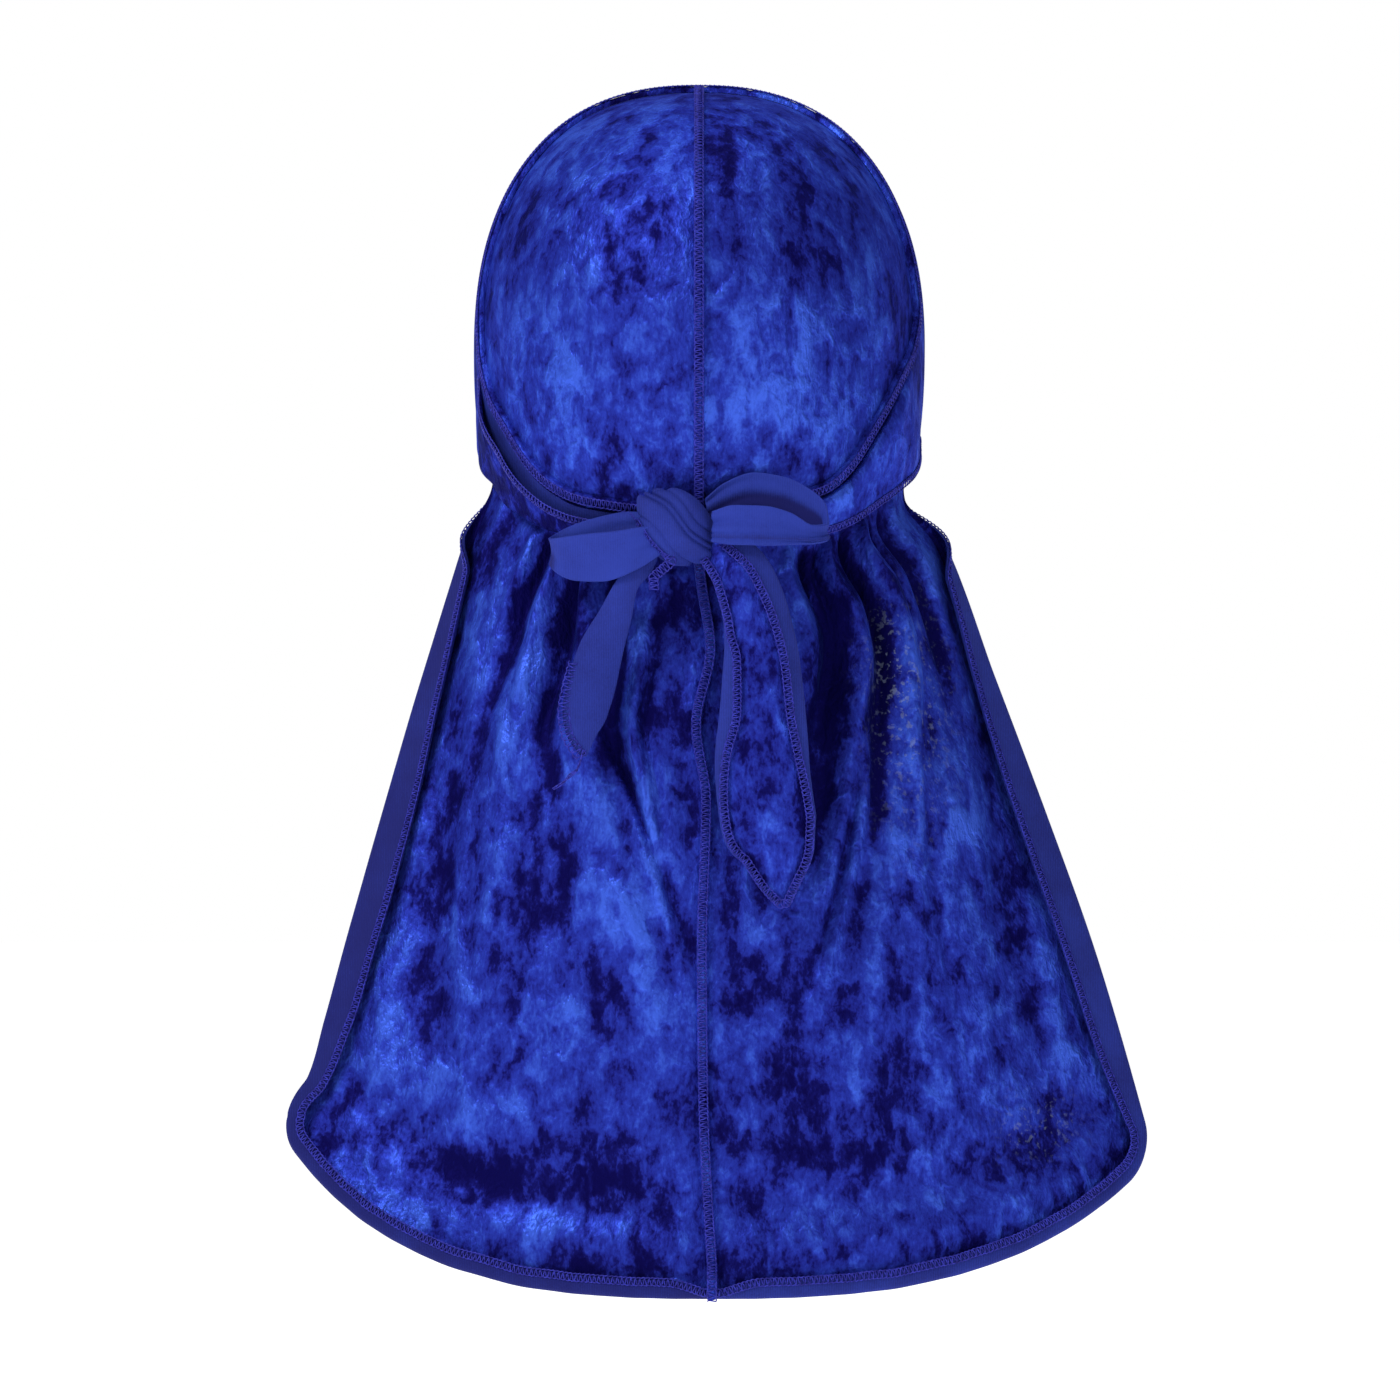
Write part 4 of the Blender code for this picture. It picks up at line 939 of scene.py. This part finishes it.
def overlock(path, normal, width=STITCH_WIDTH, lift=0.0, step=STITCH_STEP):
    """The threads of an overlocked edge: slanting stitches across the path and a chain along each side."""
    stitches = max(int(line_length(path) / step), 2)
    count = len(STITCH_POINTS) * stitches + 1
    line = evenly(path, count)
    up = unit(spaced(normal, path, count))
    across = unit(np.cross(np.gradient(line, axis=0), up))
    place = np.arange(count)
    swing, arch = np.array(STITCH_POINTS)[place % len(STITCH_POINTS)].T
    uneven = UNEVEN_SHARE * crumple(line, UNEVEN_SIZE, 11)
    zigzag = line + across * ((0.5 + uneven) * width * swing)[:, None]
    zigzag = zigzag + up * (lift + THREAD_RADIUS * (1 + arch))[:, None]
    wave = UNEVEN_SHARE * np.sin(place * np.pi / 2)
    edges = []
    for way in (-0.5, 0.5):
        edge = line + across * (width * (way + wave))[:, None] + up * (lift + THREAD_RADIUS)
        edges.append(edge)
    return [zigzag, *edges]


def add_threads(name, lines, material, radius=THREAD_RADIUS):
    points, faces = tube_mesh(lines, radius)
    item = mesh_object(name, points, faces, [material])
    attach(item, "root")
    return item


# Painted shade on the panels' turned-over edges and painted light and shade on each strap, as how much
# brighter they are, the share of the strap over which that grows, and how much painted shade darkens a loop
# towards the opening between its arms
EDGE_PAINTED_SHADE = {"left": -0.30, "right": -0.08}
STRAP_PAINTED_LIGHT = {"left": -0.080, "right": 0.012}
STRAP_PAINTED_LIGHT_GROWS = 0.45
OPENING_PAINTED_SHADE = {"left": 0.45, "right": 0.80}

# How much brighter a loop's near and far arms are painted, as painted light
NEAR_ARM_PAINTED_LIGHT = 0.20
FAR_ARM_PAINTED_LIGHT = 0.16

# Shares of a loop's length where its near arm ends and over which it goes over into the far one. Then shares
# of its width where the opening's painted shade ends, over which it fades, and where the groove's painted
# shade lies, with its half width
NEAR_ARM_END = 0.42
ARM_BLEND = 0.10
OPENING_TOP = 0.30
OPENING_BLEND = 0.35
SHADE_PLACE = 0.19
SHADE_HALF = 0.035

# Creases of a loop: height, number across it and where they start, how far they reach out from the knot and
# how sharply they fade. Then how far its faces swell and how high its bumps are
LOOP_CREASE = 0.55 * MM
LOOP_CREASES = 2.4
LOOP_CREASE_START = 0.3
LOOP_CREASE_REACH = 1.1
LOOP_CREASE_FADE = 1.3
LOOP_SWELL = 0.9 * MM
LOOP_BUMP = 0.15 * MM

# Groove along the right loop's near arm: place across it, half width, depth, and how much painted shade
# darkens it below
GROOVE_PLACE = 0.80
GROOVE_HALF = 0.05
GROOVE_DEPTH = 1.1 * MM
GROOVE_PAINTED_SHADE = 0.30

# Turned-over edges of the right tail: radius of the turn, steps round it, shares of the strip that follows
TAIL_TURN = 0.8 * MM
TAIL_TURN_STEPS = 6
TAIL_STRIP_SHARES = (0.33, 0.66, 1.0)

# Colours of the pile, from where it turns away to where it shines, of its worn specks, of the knit and thread
PILE_COLORS = (
    (0.42, (0.0036, 0.0026, 0.060)), (0.458, (0.006, 0.006, 0.105)), (0.480, (0.012, 0.016, 0.21)),
    (0.535, (0.020, 0.037, 0.36)), (0.61, (0.044, 0.104, 0.62)),
)
WORN_COLOR = (0.20, 0.24, 0.36)
KNIT_COLORS = ((0.20, (0.007, 0.009, 0.11)), (0.75, (0.019, 0.037, 0.300)))
THREAD_COLORS = ((0.35, (0.012, 0.011, 0.17)), (0.65, (0.032, 0.037, 0.40)))

# Area lights: name, place, size, power in watts, and the point that they all face
LIGHTS = (
    ("key", (1.5, 1.4, 1.7), (0.9, 0.9), 52),
    ("fill", (-1.8, 2.2, 0.2), (1.4, 1.6), 11),
    ("top", (0.0, -0.2, 2.0), (1.6, 1.6), 16),
)
LIT_POINT = (0.0, 0.0, -0.2)
SURROUNDING_LIGHT = 0.24
FLOOR_HALF = 12.0


def new_material(name):
    material = bpy.data.materials.new(name)
    material.use_nodes = True
    tree = material.node_tree
    return material, tree, tree.nodes["Principled BSDF"]


def place_node(tree, scale):
    """The point on the object, stretched by this scale."""
    coordinates = tree.nodes.new("ShaderNodeTexCoord")
    mapping = tree.nodes.new("ShaderNodeMapping")
    mapping.inputs["Scale"].default_value = scale
    tree.links.new(coordinates.outputs["Object"], mapping.inputs["Vector"])
    return mapping.outputs["Vector"]


def noise_node(tree, place, scale, detail, roughness, distortion=0.0, output="Fac"):
    texture = tree.nodes.new("ShaderNodeTexNoise")
    texture.inputs["Scale"].default_value = scale
    texture.inputs["Detail"].default_value = detail
    texture.inputs["Roughness"].default_value = roughness
    texture.inputs["Distortion"].default_value = distortion
    tree.links.new(place, texture.inputs["Vector"])
    return texture.outputs[output]


def math_node(tree, operation, first, second):
    """A sum, product or other step on two values, each a socket or a number."""
    node = tree.nodes.new("ShaderNodeMath")
    node.operation = operation
    for socket, value in zip(node.inputs, (first, second)):
        if isinstance(value, (int, float)):
            socket.default_value = value
        else:
            tree.links.new(value, socket)
    return node.outputs["Value"]


def weighted(tree, parts):
    """The sum of sockets, each times its weight."""
    total = 0.0
    for socket, weight in parts:
        total = math_node(tree, "ADD", total, math_node(tree, "MULTIPLY", socket, weight))
    return total


def range_node(tree, value, low, high, new_low, new_high):
    """The value carried from one range to another, smoothly and without leaving it."""
    node = tree.nodes.new("ShaderNodeMapRange")
    node.interpolation_type = "SMOOTHSTEP"
    for name, number in (("From Min", low), ("From Max", high), ("To Min", new_low), ("To Max", new_high)):
        node.inputs[name].default_value = number
    tree.links.new(value, node.inputs["Value"])
    return node.outputs["Result"]


def ramp_node(tree, value, stops):
    ramp = tree.nodes.new("ShaderNodeValToRGB")
    elements = ramp.color_ramp.elements
    while len(elements) < len(stops):
        elements.new(0.5)
    for element, (place, color) in zip(elements, stops):
        element.position = place
        element.color = (*color, 1)
    tree.links.new(value, ramp.inputs["Fac"])
    return ramp.outputs["Color"]


def bump_node(tree, height, strength, distance, normal=None):
    bump = tree.nodes.new("ShaderNodeBump")
    bump.inputs["Strength"].default_value = strength
    bump.inputs["Distance"].default_value = distance
    tree.links.new(height, bump.inputs["Height"])
    if normal is not None:
        tree.links.new(normal, bump.inputs["Normal"])
    return bump.outputs["Normal"]


def attribute_node(tree, name):
    node = tree.nodes.new("ShaderNodeAttribute")
    node.attribute_name = name
    return node.outputs["Fac"]


def ragged_place(tree, stretch, amount):
    """The point on the object, stretched and pushed about by a finer noise, for ragged patches."""
    place = place_node(tree, stretch)
    wobble = noise_node(tree, place, 130.0, 3.0, 0.6, output="Color")
    push = tree.nodes.new("ShaderNodeVectorMath")
    push.operation = "MULTIPLY_ADD"
    push.inputs[1].default_value = (amount, amount, amount)
    tree.links.new(wobble, push.inputs[0])
    tree.links.new(place, push.inputs[2])
    return push.outputs["Vector"]


def velvet_material():
    """Crushed velvet: ragged dark patches where the pile turns away, streaks, worn specks, a fine pile, and
    the painted light and shade of each point's tone.
    """
    material, tree, shader = new_material("Crushed velvet")
    place = ragged_place(tree, (1.0, 1.0, 0.66), 9 * MM)
    broad = noise_node(tree, place, 20.0, 2.0, 0.5)
    patches = noise_node(tree, place, 72.0, 3.0, 0.55, 0.5)
    flecks = noise_node(tree, place, 150.0, 3.0, 0.6, 0.4)
    streaks = noise_node(tree, ragged_place(tree, (1.0, 1.0, 0.14), 4 * MM), 190.0, 3.0, 0.6)
    pile = noise_node(tree, place_node(tree, (1.0, 1.0, 0.6)), 900.0, 3.0, 0.65)
    small = noise_node(tree, ragged_place(tree, (1.0, 1.0, 0.8), 5 * MM), 210.0, 2.0, 0.5)
    # Painted light and shade, with pile patches on the panels
    tone = attribute_node(tree, "tone_with_painted_light")
    crush = weighted(tree, [(broad, 0.22), (patches, 0.36), (flecks, 0.28), (small, 0.14)])
    value = weighted(tree, [(crush, 0.82), (streaks, 0.09), (pile, 0.12), (tone, 1.0)])
    color = ramp_node(tree, value, PILE_COLORS)
    specks = noise_node(tree, place_node(tree, (1.0, 1.0, 1.0)), 420.0, 2.0, 0.6)
    speckled = range_node(tree, specks, 0.55, 0.66, 0.0, 0.38)
    worn = math_node(tree, "MULTIPLY", speckled, attribute_node(tree, "pile_wear"))
    grey = tree.nodes.new("ShaderNodeMix")
    grey.data_type = "RGBA"
    grey.inputs["B"].default_value = (*WORN_COLOR, 1)
    tree.links.new(worn, grey.inputs["Factor"])
    tree.links.new(color, grey.inputs["A"])
    tree.links.new(grey.outputs["Result"], shader.inputs["Base Color"])
    tree.links.new(range_node(tree, value, 0.44, 0.60, 0.60, 0.40), shader.inputs["Roughness"])
    shader.inputs["Metallic"].default_value = 0.5
    shader.inputs["Specular IOR Level"].default_value = 0.05
    shader.inputs["Specular Tint"].default_value = (0.10, 0.20, 0.90, 1)
    shader.inputs["Sheen Weight"].default_value = 0.10
    shader.inputs["Sheen Roughness"].default_value = 0.35
    shader.inputs["Sheen Tint"].default_value = (0.06, 0.16, 1.0, 1)
    relief = weighted(tree, [(patches, 1.0), (flecks, 0.5), (streaks, 0.3)])
    normal = bump_node(tree, relief, 0.7, 3.0 * MM)
    normal = bump_node(tree, pile, 0.5, 0.5 * MM, normal)
    tree.links.new(normal, shader.inputs["Normal"])
    return material


def knit_material():
    """The plain matte knit of the reverse side, with the painted light and shade of each piece's tone."""
    material, tree, shader = new_material("Plain knit")
    place = place_node(tree, (1.0, 1.0, 1.0))
    mottle = noise_node(tree, place, 60.0, 4.0, 0.6)
    grain = noise_node(tree, place, 1500.0, 2.0, 0.6)
    ribs = tree.nodes.new("ShaderNodeTexWave")
    ribs.wave_type = "BANDS"
    ribs.bands_direction = "X"
    ribs.inputs["Scale"].default_value = 520.0
    ribs.inputs["Distortion"].default_value = 1.5
    ribs.inputs["Detail"].default_value = 1.0
    tree.links.new(place, ribs.inputs["Vector"])
    # Painted light and shade set piece by piece
    tone = attribute_node(tree, "tone_with_painted_light")
    value = weighted(tree, [(mottle, 0.5), (grain, 0.3), (ribs.outputs["Fac"], 0.2), (tone, 1.0)])
    color = ramp_node(tree, value, KNIT_COLORS)
    tree.links.new(color, shader.inputs["Base Color"])
    shader.inputs["Roughness"].default_value = 0.8
    shader.inputs["Specular IOR Level"].default_value = 0.15
    shader.inputs["Sheen Weight"].default_value = 0.08
    shader.inputs["Sheen Tint"].default_value = (0.08, 0.14, 0.9, 1)
    relief = math_node(tree, "ADD", grain, ribs.outputs["Fac"])
    tree.links.new(bump_node(tree, relief, 0.35, 0.2 * MM), shader.inputs["Normal"])
    return material


def thread_material():
    """Violet-blue overlock thread."""
    material, tree, shader = new_material("Overlock thread")
    twist = noise_node(tree, place_node(tree, (1.0, 1.0, 1.0)), 900.0, 2.0, 0.5)
    color = ramp_node(tree, twist, THREAD_COLORS)
    tree.links.new(color, shader.inputs["Base Color"])
    shader.inputs["Roughness"].default_value = 0.5
    shader.inputs["Specular IOR Level"].default_value = 0.15
    tree.links.new(bump_node(tree, twist, 0.3, 0.1 * MM), shader.inputs["Normal"])
    return material


def stands_for(item, nodes):
    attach(item, "root")
    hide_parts(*nodes)


def facing(faces, side):
    """Faces turned round on the right, where the grid is mirrored."""
    return faces if SIDES[side] > 0 else [face[::-1] for face in faces]


def add_panel(side, grid, tone, materials):
    rows, columns = grid.shape[:2]
    points = [grid.reshape(-1, 3)]
    tones = [tone.reshape(-1)]
    faces = grid_faces(rows, columns)
    edge = [row * columns + columns - 1 for row in range(CROWN_ROWS - 1, rows)]
    edge += [(rows - 1) * columns + column for column in range(columns - 2, -1, -1)]
    previous = np.array(edge)
    count = rows * columns
    border = panel_border(grid, side)
    for row in border:
        current = np.arange(count, count + len(row))
        points.append(row)
        # Painted shade on the turned-over edge strips
        tones.append(np.full(len(row), EDGE_PAINTED_SHADE[side]))
        faces.extend(np.stack([previous[:-1], current[:-1], current[1:], previous[1:]], axis=1).tolist())
        previous = current
        count += len(row)
    points = np.vstack(points)
    item = add_cloth(f"{side}_panel_cloth", points, facing(faces, side), materials, np.hstack(tones), CLOTH)
    set_values(item, "pile_wear", spots(points, WORN))
    stands_for(item, [f"{side}_panel"])
    return border


def add_panel_threads(side, border, material):
    """Overlocking along the inner edge of the folded side and the rolled hem."""
    edge = border[-1]
    inward = unit(border[-1] - border[-2])
    normal = unit(np.cross(np.gradient(edge, axis=0), inward))
    normal = normal * np.sign((normal * (border[-1] - border[0])).sum())
    path = edge - inward * STITCH_WIDTH * EDGE_STITCH_INSET
    stitches = overlock(path[EDGE_STITCH_START:], normal[EDGE_STITCH_START:], lift=CLOTH / 2)
    add_threads(f"{side}_edge_thread", stitches, material)


def ridge_grid(path, normal, width, height):
    """A rounded, slightly lumpy seam along a path, standing on the side its normals point to."""
    across = unit(np.cross(unit(np.gradient(path, axis=0)), normal))
    lumps = 1 + RIDGE_LUMPS * crumple(path, RIDGE_LUMP_SIZE, 41)
    rings = []
    for turn in np.linspace(0, np.pi, RIDGE_POINTS):
        up = np.sin(turn) ** RIDGE_ROUNDNESS * height * lumps
        rings.append(path + across * (np.cos(turn) * width / 2) + normal * up[:, None])
    return np.stack(rings, axis=1)


def down_to_hem(path, normal):
    """The centre seam's path carried on over the rolled hem to its lower edge."""
    front = path[-1, 1] + 2 * FOLD_RADIUS + CLOTH / 2
    bottom = -HEM_DEPTH - FOLD_RADIUS
    table = np.array(SEAM_OVER_HEM)
    sideways = np.full(len(table), path[-1, 0])
    added = np.column_stack([sideways, front - table[:, 0] * MM, bottom + table[:, 1] * MM])
    facing_out = np.column_stack([0 * sideways, table[:, 2:]])
    return np.vstack([path, added]), np.vstack([normal, unit(facing_out)])


def add_seam(name, path, normal, velvet, thread):
    count = int(line_length(path) / RIDGE_STEP)
    up = unit(spaced(normal, path, count))
    foot = evenly(path, count) - up * GAP
    grid = ridge_grid(foot, up, SEAM_WIDTH * RIDGE_SHARE, SEAM_HEIGHT)
    item = mesh_object(f"{name}_ridge", grid.reshape(-1, 3), grid_faces(*grid.shape[:2]), [velvet])
    stands_for(item, [name])
    add_threads(f"{name}_thread", overlock(foot, up, SEAM_WIDTH * SEAM_STITCH_SHARE, SEAM_HEIGHT), thread)


def roughened(grid, amount, size, seed):
    """A grid with uneven bumps of this height and size along its normals."""
    bumps = amount * crumple(grid * BUMPS_DRAWN_OUT, size, seed)
    normals = sheet_normals(grid)
    return grid + normals * bumps[..., None]


def add_grid_cloth(node, grid, materials, tone=0.0):
    """One cloth piece from a plain grid, in place of the node of the same name."""
    points = grid.reshape(-1, 3)
    faces = grid_faces(*grid.shape[:2])
    tones = np.broadcast_to(tone, grid.shape[:2]).reshape(-1)
    item = add_cloth(f"{node}_cloth", points, faces, materials, tones, FINE_CLOTH)
    stands_for(item, [node])


def outer_normals(grid, column):
    """Normals of a grid along one column, turned to point away from the head."""
    normal = sheet_normals(grid)[:, column]
    return normal * np.sign(normal[:, 1:2].mean())


def add_strap(side, materials, thread):
    grid = roughened(strap_grid(side), *STRAP_BUMPS)
    # Painted light and shade along the strap, growing towards the knot
    tone = STRAP_PAINTED_LIGHT[side] * smoothstep(np.linspace(0, 1, STRAP_ROWS) / STRAP_PAINTED_LIGHT_GROWS)[:, None]
    add_grid_cloth(f"{side}_strap", grid, materials, tone)
    stitches = overlock(grid[:, -1], outer_normals(grid, -2), lift=FINE_CLOTH / 2)
    add_threads(f"{side}_strap_thread", stitches, thread)


def creased_knot():
    """The knot's surface with its wraps set off from one another by sharp slanting creases."""
    points = knot_points(0)
    away = points - knot_centre()
    x, _, z = (away / np.array(KNOT_HALF)).T
    slant = (x - KNOT_LEAN * z) * np.cos(CREASE_ANGLE) + z * np.sin(CREASE_ANGLE)
    bend = KNOT_BEND * np.sin(KNOT_BEND_TURN * (x + z))
    size = KNOT_GROWTH + KNOT_BUMP * crumple(points, SMALL_BUMP_SIZE, 51)
    for centre, depth, half in KNOT_CREASES:
        size = size - depth * np.exp(-np.abs(slant + bend - centre) / half)
    return knot_centre() + away * size[:, None]


def add_knot(knit):
    points = creased_knot()
    j = np.arange(KNOT_COLUMNS)
    k = (j + 1) % KNOT_COLUMNS
    last = 2 + (KNOT_ROWS - 1) * KNOT_COLUMNS
    a = np.arange(2, last, KNOT_COLUMNS)[:, None]
    below = a + KNOT_COLUMNS
    faces = np.stack([a + j, below + j, below + k, a + k], axis=-1).reshape(-1, 4).tolist()
    faces += np.stack([0 * j, 2 + j, 2 + k], axis=1).tolist()
    faces += np.stack([0 * j + 1, last + k, last + j], axis=1).tolist()
    item = mesh_object("knot_cloth", points, faces, [knit])
    stands_for(item, ["knot"])


def pinched_loop(side):
    """A loop with creases that fan out from the knot, and faces swelled a little."""
    grid = loop_grid(side)
    across = np.linspace(0, 1, LOOP_COLUMNS)[None, :]
    reach = np.abs(grid[..., 0]) / LOOP_REACH[side]
    fan = np.clip(LOOP_CREASE_REACH - reach, 0, 1) ** LOOP_CREASE_FADE
    height = LOOP_CREASE * np.sin(2 * np.pi * (LOOP_CREASES * across + LOOP_CREASE_START)) * fan
    height = height + LOOP_SWELL * (1 - (2 * across - 1) ** 2)
    if side == "right":
        height -= GROOVE_DEPTH * loop_side_share() * np.exp(-(((across - GROOVE_PLACE) / GROOVE_HALF) ** 2))
    height = height + LOOP_BUMP * crumple(grid, SMALL_BUMP_SIZE, 61)
    return grid + sheet_normals(grid) * height[..., None]


def loop_side_share():
    """1 on the near arm of a loop and 0 on the far one, for each row of its grid."""
    return 1 - smoothstep((np.linspace(0, 1, LOOP_STEPS)[:, None] - NEAR_ARM_END) / ARM_BLEND)


def loop_painted_light(side):
    """Painted light on the near arm, less below its groove, and painted shade on the far one towards the
    opening between them.
    """
    near = loop_side_share()
    up = np.linspace(0, 1, LOOP_COLUMNS)[None, :]
    if side == "right":
        up = 1 - up
    opening = OPENING_PAINTED_SHADE[side] * (1 - smoothstep((up - OPENING_TOP) / OPENING_BLEND))
    # Painted shade below the right loop's groove
    under = GROOVE_PAINTED_SHADE * np.exp(-(((up - SHADE_PLACE) / SHADE_HALF) ** 2)) * (side == "right")
    return near * (NEAR_ARM_PAINTED_LIGHT - under) + (1 - near) * (FAR_ARM_PAINTED_LIGHT - opening)


def edged_tail(grid):
    """The right tail with both its edges turned over its outside, so that strips of its plain side show."""
    share = np.linspace(0, 1, len(grid))
    strips = follow(TAIL_STRIPS, share)
    width = np.linalg.norm(grid[:, -1] - grid[:, 0], axis=1)
    sides = []
    for edge, inside, strip in ((0, 1, strips[:, 0]), (-1, -2, strips[:, 1])):
        way = unit(grid[:, edge] - grid[:, inside])
        rows = []
        for angle in np.linspace(0, np.pi, TAIL_TURN_STEPS + 1)[1:]:
            round_edge = way * np.sin(angle) + BACKWARD * (1 - np.cos(angle))
            rows.append(grid[:, edge] + round_edge * TAIL_TURN)
        turned = rows[-1]
        for part in TAIL_STRIP_SHARES:
            rows.append(turned - way * (strip * width * part)[:, None])
        sides.append(rows)
    left, right = sides
    return np.stack(left[::-1] + list(grid.swapaxes(0, 1)) + right, axis=1)


def add_tail(side, materials, thread):
    grid = roughened(tail_grid(side), *TAIL_BUMPS)
    if side == "right":
        grid = edged_tail(grid)
    add_grid_cloth(f"{side}_tail", grid, materials)
    if side == "left":
        edge = grid[int(TAIL_STEPS * LADDER_START):, 1]
        lines = overlock(edge, np.tile(BACKWARD, (len(edge), 1)), LADDER_WIDTH, FINE_CLOTH / 2, LADDER_STEP)
        lines += loose_lines()
    else:
        tip = (grid[-1:, 0] + grid[-1:, -1]) / 2
        edge = np.vstack([grid[2:, 0], tip, grid[:1:-1, -1]])
        lines = overlock(edge, np.tile(BACKWARD, (len(edge), 1)), lift=FINE_CLOTH / 2)
    add_threads(f"{side}_tail_thread", lines, thread)


def seen_from_behind(places, y):
    """Points from places to the left and depths in millimetres, at this distance back."""
    table = np.array(places, float)
    return np.column_stack([table[:, 0] * MM, np.broadcast_to(y, len(table)), -table[:, 1] * MM])


def loose_lines():
    """Three strands that trail from the left tail's tip, frayed a little."""
    tip = knot_centre()[1]
    line = evenly(seen_from_behind(LOOSE_THREAD, tip + MM), LOOSE_THREAD_STEPS)
    strands = []
    for seed in STRAND_SEEDS:
        shift = np.stack([crumple(line, FRAY_SIZE, seed + step) for step in (0, 3, 6)], axis=1)
        strands.append(line + FRAY * shift)
    return strands


def add_knot_threads(thread):
    """Overlocking on the wrap's edge across the knot, and the loose stitched edge below it."""
    surface = creased_knot()
    centre = knot_centre()
    front = surface[surface[:, 1] > centre[1]]
    path = evenly(seen_from_behind(KNOT_EDGE, centre[1]), KNOT_EDGE_STEPS)
    flat = np.hypot(path[:, None, 0] - front[None, :, 0], path[:, None, 2] - front[None, :, 2])
    path[:, 1] = front[np.argmin(flat, axis=1), 1]
    up = unit(path - centre)
    lines = overlock(path, up, **KNOT_EDGE_STITCHES)
    loose = evenly(seen_from_behind(LOOSE_EDGE, centre[1] + LOOSE_EDGE_BACK), LOOSE_EDGE_STEPS)
    lines += overlock(loose, np.tile(BACKWARD, (LOOSE_EDGE_STEPS, 1)), **LOOSE_EDGE_STITCHES)
    add_threads("knot_thread", lines, thread)


def add_stage():
    """A pale floor below the hanging cape."""
    corners = ((-1, -1), (1, -1), (1, 1), (-1, 1))
    points = [(x * FLOOR_HALF, y * FLOOR_HALF, -FLOOR_DEPTH) for x, y in corners]
    material, _, shader = new_material("Pale floor")
    shader.inputs["Base Color"].default_value = (0.9, 0.9, 0.9, 1)
    shader.inputs["Roughness"].default_value = 0.9
    shader.inputs["Emission Color"].default_value = (1, 1, 1, 1)
    shader.inputs["Emission Strength"].default_value = 0.8
    mesh_object("floor", points, [(0, 1, 2, 3)], [material])


def add_light(name, place, size, power):
    light = bpy.data.lights.new(name, "AREA")
    light.shape = "RECTANGLE"
    light.size = size[0]
    light.size_y = size[1]
    light.energy = power
    item = bpy.data.objects.new(name, light)
    bpy.context.scene.collection.objects.link(item)
    item.location = place
    item.rotation_euler = (Vector(LIT_POINT) - Vector(place)).to_track_quat("-Z", "Y").to_euler()


def add_world():
    """White surroundings that the camera sees at full strength and the cloth more softly."""
    world = bpy.data.worlds.new("Soft white")
    world.use_nodes = True
    tree = world.node_tree
    light = tree.nodes["Background"]
    light.inputs["Color"].default_value = (1, 1, 1, 1)
    light.inputs["Strength"].default_value = SURROUNDING_LIGHT
    seen = tree.nodes.new("ShaderNodeBackground")
    seen.inputs["Strength"].default_value = 1.0
    seen.inputs["Color"].default_value = (1, 1, 1, 1)
    path = tree.nodes.new("ShaderNodeLightPath")
    mix = tree.nodes.new("ShaderNodeMixShader")
    tree.links.new(path.outputs["Is Camera Ray"], mix.inputs["Fac"])
    tree.links.new(light.outputs["Background"], mix.inputs[1])
    tree.links.new(seen.outputs["Background"], mix.inputs[2])
    tree.links.new(mix.outputs["Shader"], tree.nodes["World Output"].inputs["Surface"])
    bpy.context.scene.world = world


def add_camera():
    data = bpy.data.cameras.new("camera")
    data.sensor_width = SENSOR
    data.lens = SENSOR * CAMERA_DISTANCE / PICTURE_SIDE
    item = bpy.data.objects.new("camera", data)
    bpy.context.scene.collection.objects.link(item)
    place = Vector(PICTURE_MIDDLE) + Vector((0, CAMERA_DISTANCE, 0))
    item.location = place
    item.rotation_euler = (Vector(PICTURE_MIDDLE) - place).to_track_quat("-Z", "Y").to_euler()
    bpy.context.scene.camera = item


def main():
    bpy.context.scene.view_settings.view_transform = "Standard"
    velvet = velvet_material()
    knit = knit_material()
    thread = thread_material()
    grids = {}
    for side in SIDES:
        grids[side], tone = fine_panel_grid(side)
        border = add_panel(side, grids[side], tone, [velvet, knit])
        add_panel_threads(side, border, thread)
    centre = down_to_hem(*centre_seam_path(grids["left"], grids["right"]))
    add_seam("centre_seam", *centre, velvet, thread)
    add_seam("front_seam", *front_seam_path(), velvet, thread)
    band = roughened(band_grid(), *BAND_BUMPS)
    add_grid_cloth("front_band", band, [knit, velvet])
    add_knot(knit)
    add_knot_threads(thread)
    for side in SIDES:
        add_strap(side, [knit, velvet], thread)
        loop = pinched_loop(side)
        # Loops with painted light and shade
        add_grid_cloth(f"{side}_loop", loop, [knit, knit], loop_painted_light(side))
    add_tail("left", [knit, knit], thread)
    add_tail("right", [knit, velvet], thread)
    add_stage()
    add_world()
    for light in LIGHTS:
        add_light(*light)
    add_camera()


main()
